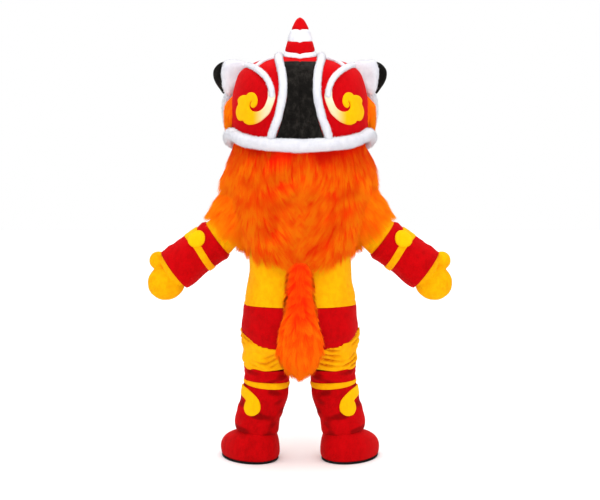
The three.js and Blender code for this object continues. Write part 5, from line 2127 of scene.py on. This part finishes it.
@dataclass
class Tail:
    """The long fur tail, parted down its middle."""

    room: Workroom
    inset: float = 20.0
    backing_low: float = 452.0
    backing_high: float = 912.0

    ROWS = Table(
        "level y half deep",
        [
            (388, 262, 6, 8), (405, 262, 22, 20), (436, 262, 52, 30), (484, 261, 88, 38),
            (560, 260, 108, 42), (619, 255, 98, 42), (690, 246, 76, 38), (731, 240, 68, 36),
            (808, 232, 60, 34), (885, 228, 54, 31), (925, 224, 38, 22),
        ],
    )

    def build(self) -> None:
        """Makes the stuffed tail and the fur on it."""
        skin = Skin(self.ROWS)
        angle, level = skin.grid(self.backing_low, self.backing_high, 60, 56)
        base, out = skin.point(angle, level), skin.normal(angle, level)
        pad = stack(base - out * self.inset, poles=True)
        points = pad.points
        x, _, z = points.T
        normals = np.vstack([out.reshape(-1, 3), [(0, 0, -1), (0, 0, 1)]])
        turn = 0.8 * smooth(600, 740, z) + 0.2 * smooth(520, 580, z) - 0.42 * smooth(540, 470, z)
        part = np.sign(x) * smooth(0, 12, np.abs(x)) * turn
        flow = np.stack([part, 0 * x, -np.ones_like(x)], axis=-1)
        flow = unit(flow - normals * (flow * normals).sum(-1, keepdims=True)) + normals * 0.16
        reach = 56 + 22 * smooth(660, 560, z) - 18 * smooth(480, 452, z)
        reach = reach + 7 * lumps(points, 40, 111)
        parting = 0.5 * smooth(620, 760, z) * bell(0, 26, x)
        dye_and_shade = parting + 0.2 * smooth(600, 720, z) * smooth(915, 880, z)
        pad.marks = {
            "flow": unit(flow),
            "pelt": normals,
            "reach": reach / METRE,
            "dye_and_shade": np.clip(dye_and_shade, 0, 1),
            "gold": 0.12 * smooth(640, 540, z),
        }
        pile = Pile(240000.0, thickness=0.0155, clump_gap=0.018, clumping=0.5, seed=45)
        self.room.coat("tail_fur_strands", pad, pile, TAIL_FUR)
        pad.marks = root_marks(pad, 0.5)
        self.room.hang("tail_pad", pad, TAIL_FUR, ["tail"])


# Studio


@dataclass
class Studio:
    """A pale floor, soft light and the camera behind the costume."""

    room: Workroom
    distance: float = 5.2875
    camera_height: float = 0.0
    tilt: float = 2.404
    lens: float = 70.82
    shift: float = -0.05
    floor_size: float = 40.0
    ceiling: float = 2.0
    flank: float = 0.5

    def build(self) -> None:
        """Makes floor, lights and camera."""
        self.floor()
        self.lights()
        self.camera()

    def floor(self) -> None:
        """A plain pale floor under the soles."""
        half = self.floor_size / 2 * METRE
        corners = np.array([(-1, -1, 0), (1, -1, 0), (1, 1, 0), (-1, 1, 0)]) * half
        data = Form(corners, [(0, 1, 2, 3)]).mesh("studio_floor")
        floor = bpy.data.objects.new("studio_floor", data)
        floor.data.materials.append(self.room.finish(FLOOR))
        bpy.context.scene.collection.objects.link(floor)

    def lights(self) -> None:
        """White surroundings and three large soft lights."""
        scene = bpy.context.scene
        world = bpy.data.worlds.new("studio")
        world.use_nodes = True
        desk = Desk(world.node_tree)
        way = desk.add("ShaderNodeTexCoord").outputs["Generated"]
        parts = desk.add("ShaderNodeSeparateXYZ", {0: way})
        aside = desk.math("ABSOLUTE", parts.outputs["X"])
        above, beside = (
            desk.add(
                "ShaderNodeMapRange",
                {"Value": value, "From Min": low, "From Max": high, "To Min": 1.0, "To Max": end},
            )
            for value, low, high, end in (
                (parts.outputs["Z"], 0.2, 1.0, self.ceiling),
                (aside, 0.4, 0.85, self.flank),
            )
        )
        background = world.node_tree.nodes["Background"]
        desk.feed(background.inputs["Strength"], desk.math("MULTIPLY", above, beside))
        background.inputs["Color"].default_value = (1, 1, 1, 1)
        scene.world = world
        for name, place, size, power in (
            ("key", (1.2, 3.6, 3.0), 2.2, 20.0),
            ("fill", (-2.0, 3.6, 1.6), 2.4, 12.0),
            ("top", (0.0, 0.9, 3.6), 2.0, 30.0),
        ):
            lamp = bpy.data.lights.new(name, "AREA")
            lamp.shape = "DISK"
            lamp.size = size
            lamp.energy = power
            light = bpy.data.objects.new(name, lamp)
            light.location = place
            aim = Vector((0, 0, -0.3)) - Vector(place)
            light.rotation_euler = aim.to_track_quat("-Z", "Y").to_euler()
            scene.collection.objects.link(light)
        scene.view_settings.view_transform = "Standard"
        scene.view_settings.look = "None"
        scene.view_settings.exposure = 0.0
        scene.view_settings.gamma = 1.0

    def camera(self) -> None:
        """A camera behind the costume, looking slightly down."""
        lens = bpy.data.cameras.new("camera")
        lens.sensor_width = 36.0
        lens.lens = self.lens
        lens.shift_y = self.shift
        lens.clip_end = 100.0
        eye = bpy.data.objects.new("camera", lens)
        eye.location = (0, self.distance, self.camera_height)
        eye.rotation_euler = (math.radians(90 - self.tilt), 0, math.radians(180))
        bpy.context.scene.collection.objects.link(eye)
        bpy.context.scene.camera = eye


def main() -> None:
    """Builds the costume and the studio."""
    logging.basicConfig(level=logging.INFO, format="%(name)s %(message)s")
    room = Workroom()
    Studio(room).build()
    for part in (Head(room), Suit(room), Arm(room), Boot(room), Mane(room), Tail(room)):
        part.build()
        LOG.info("%s done", type(part).__name__)
    LOG.info("%d triangles in all", room.count)


if __name__ == "__main__":
    main()
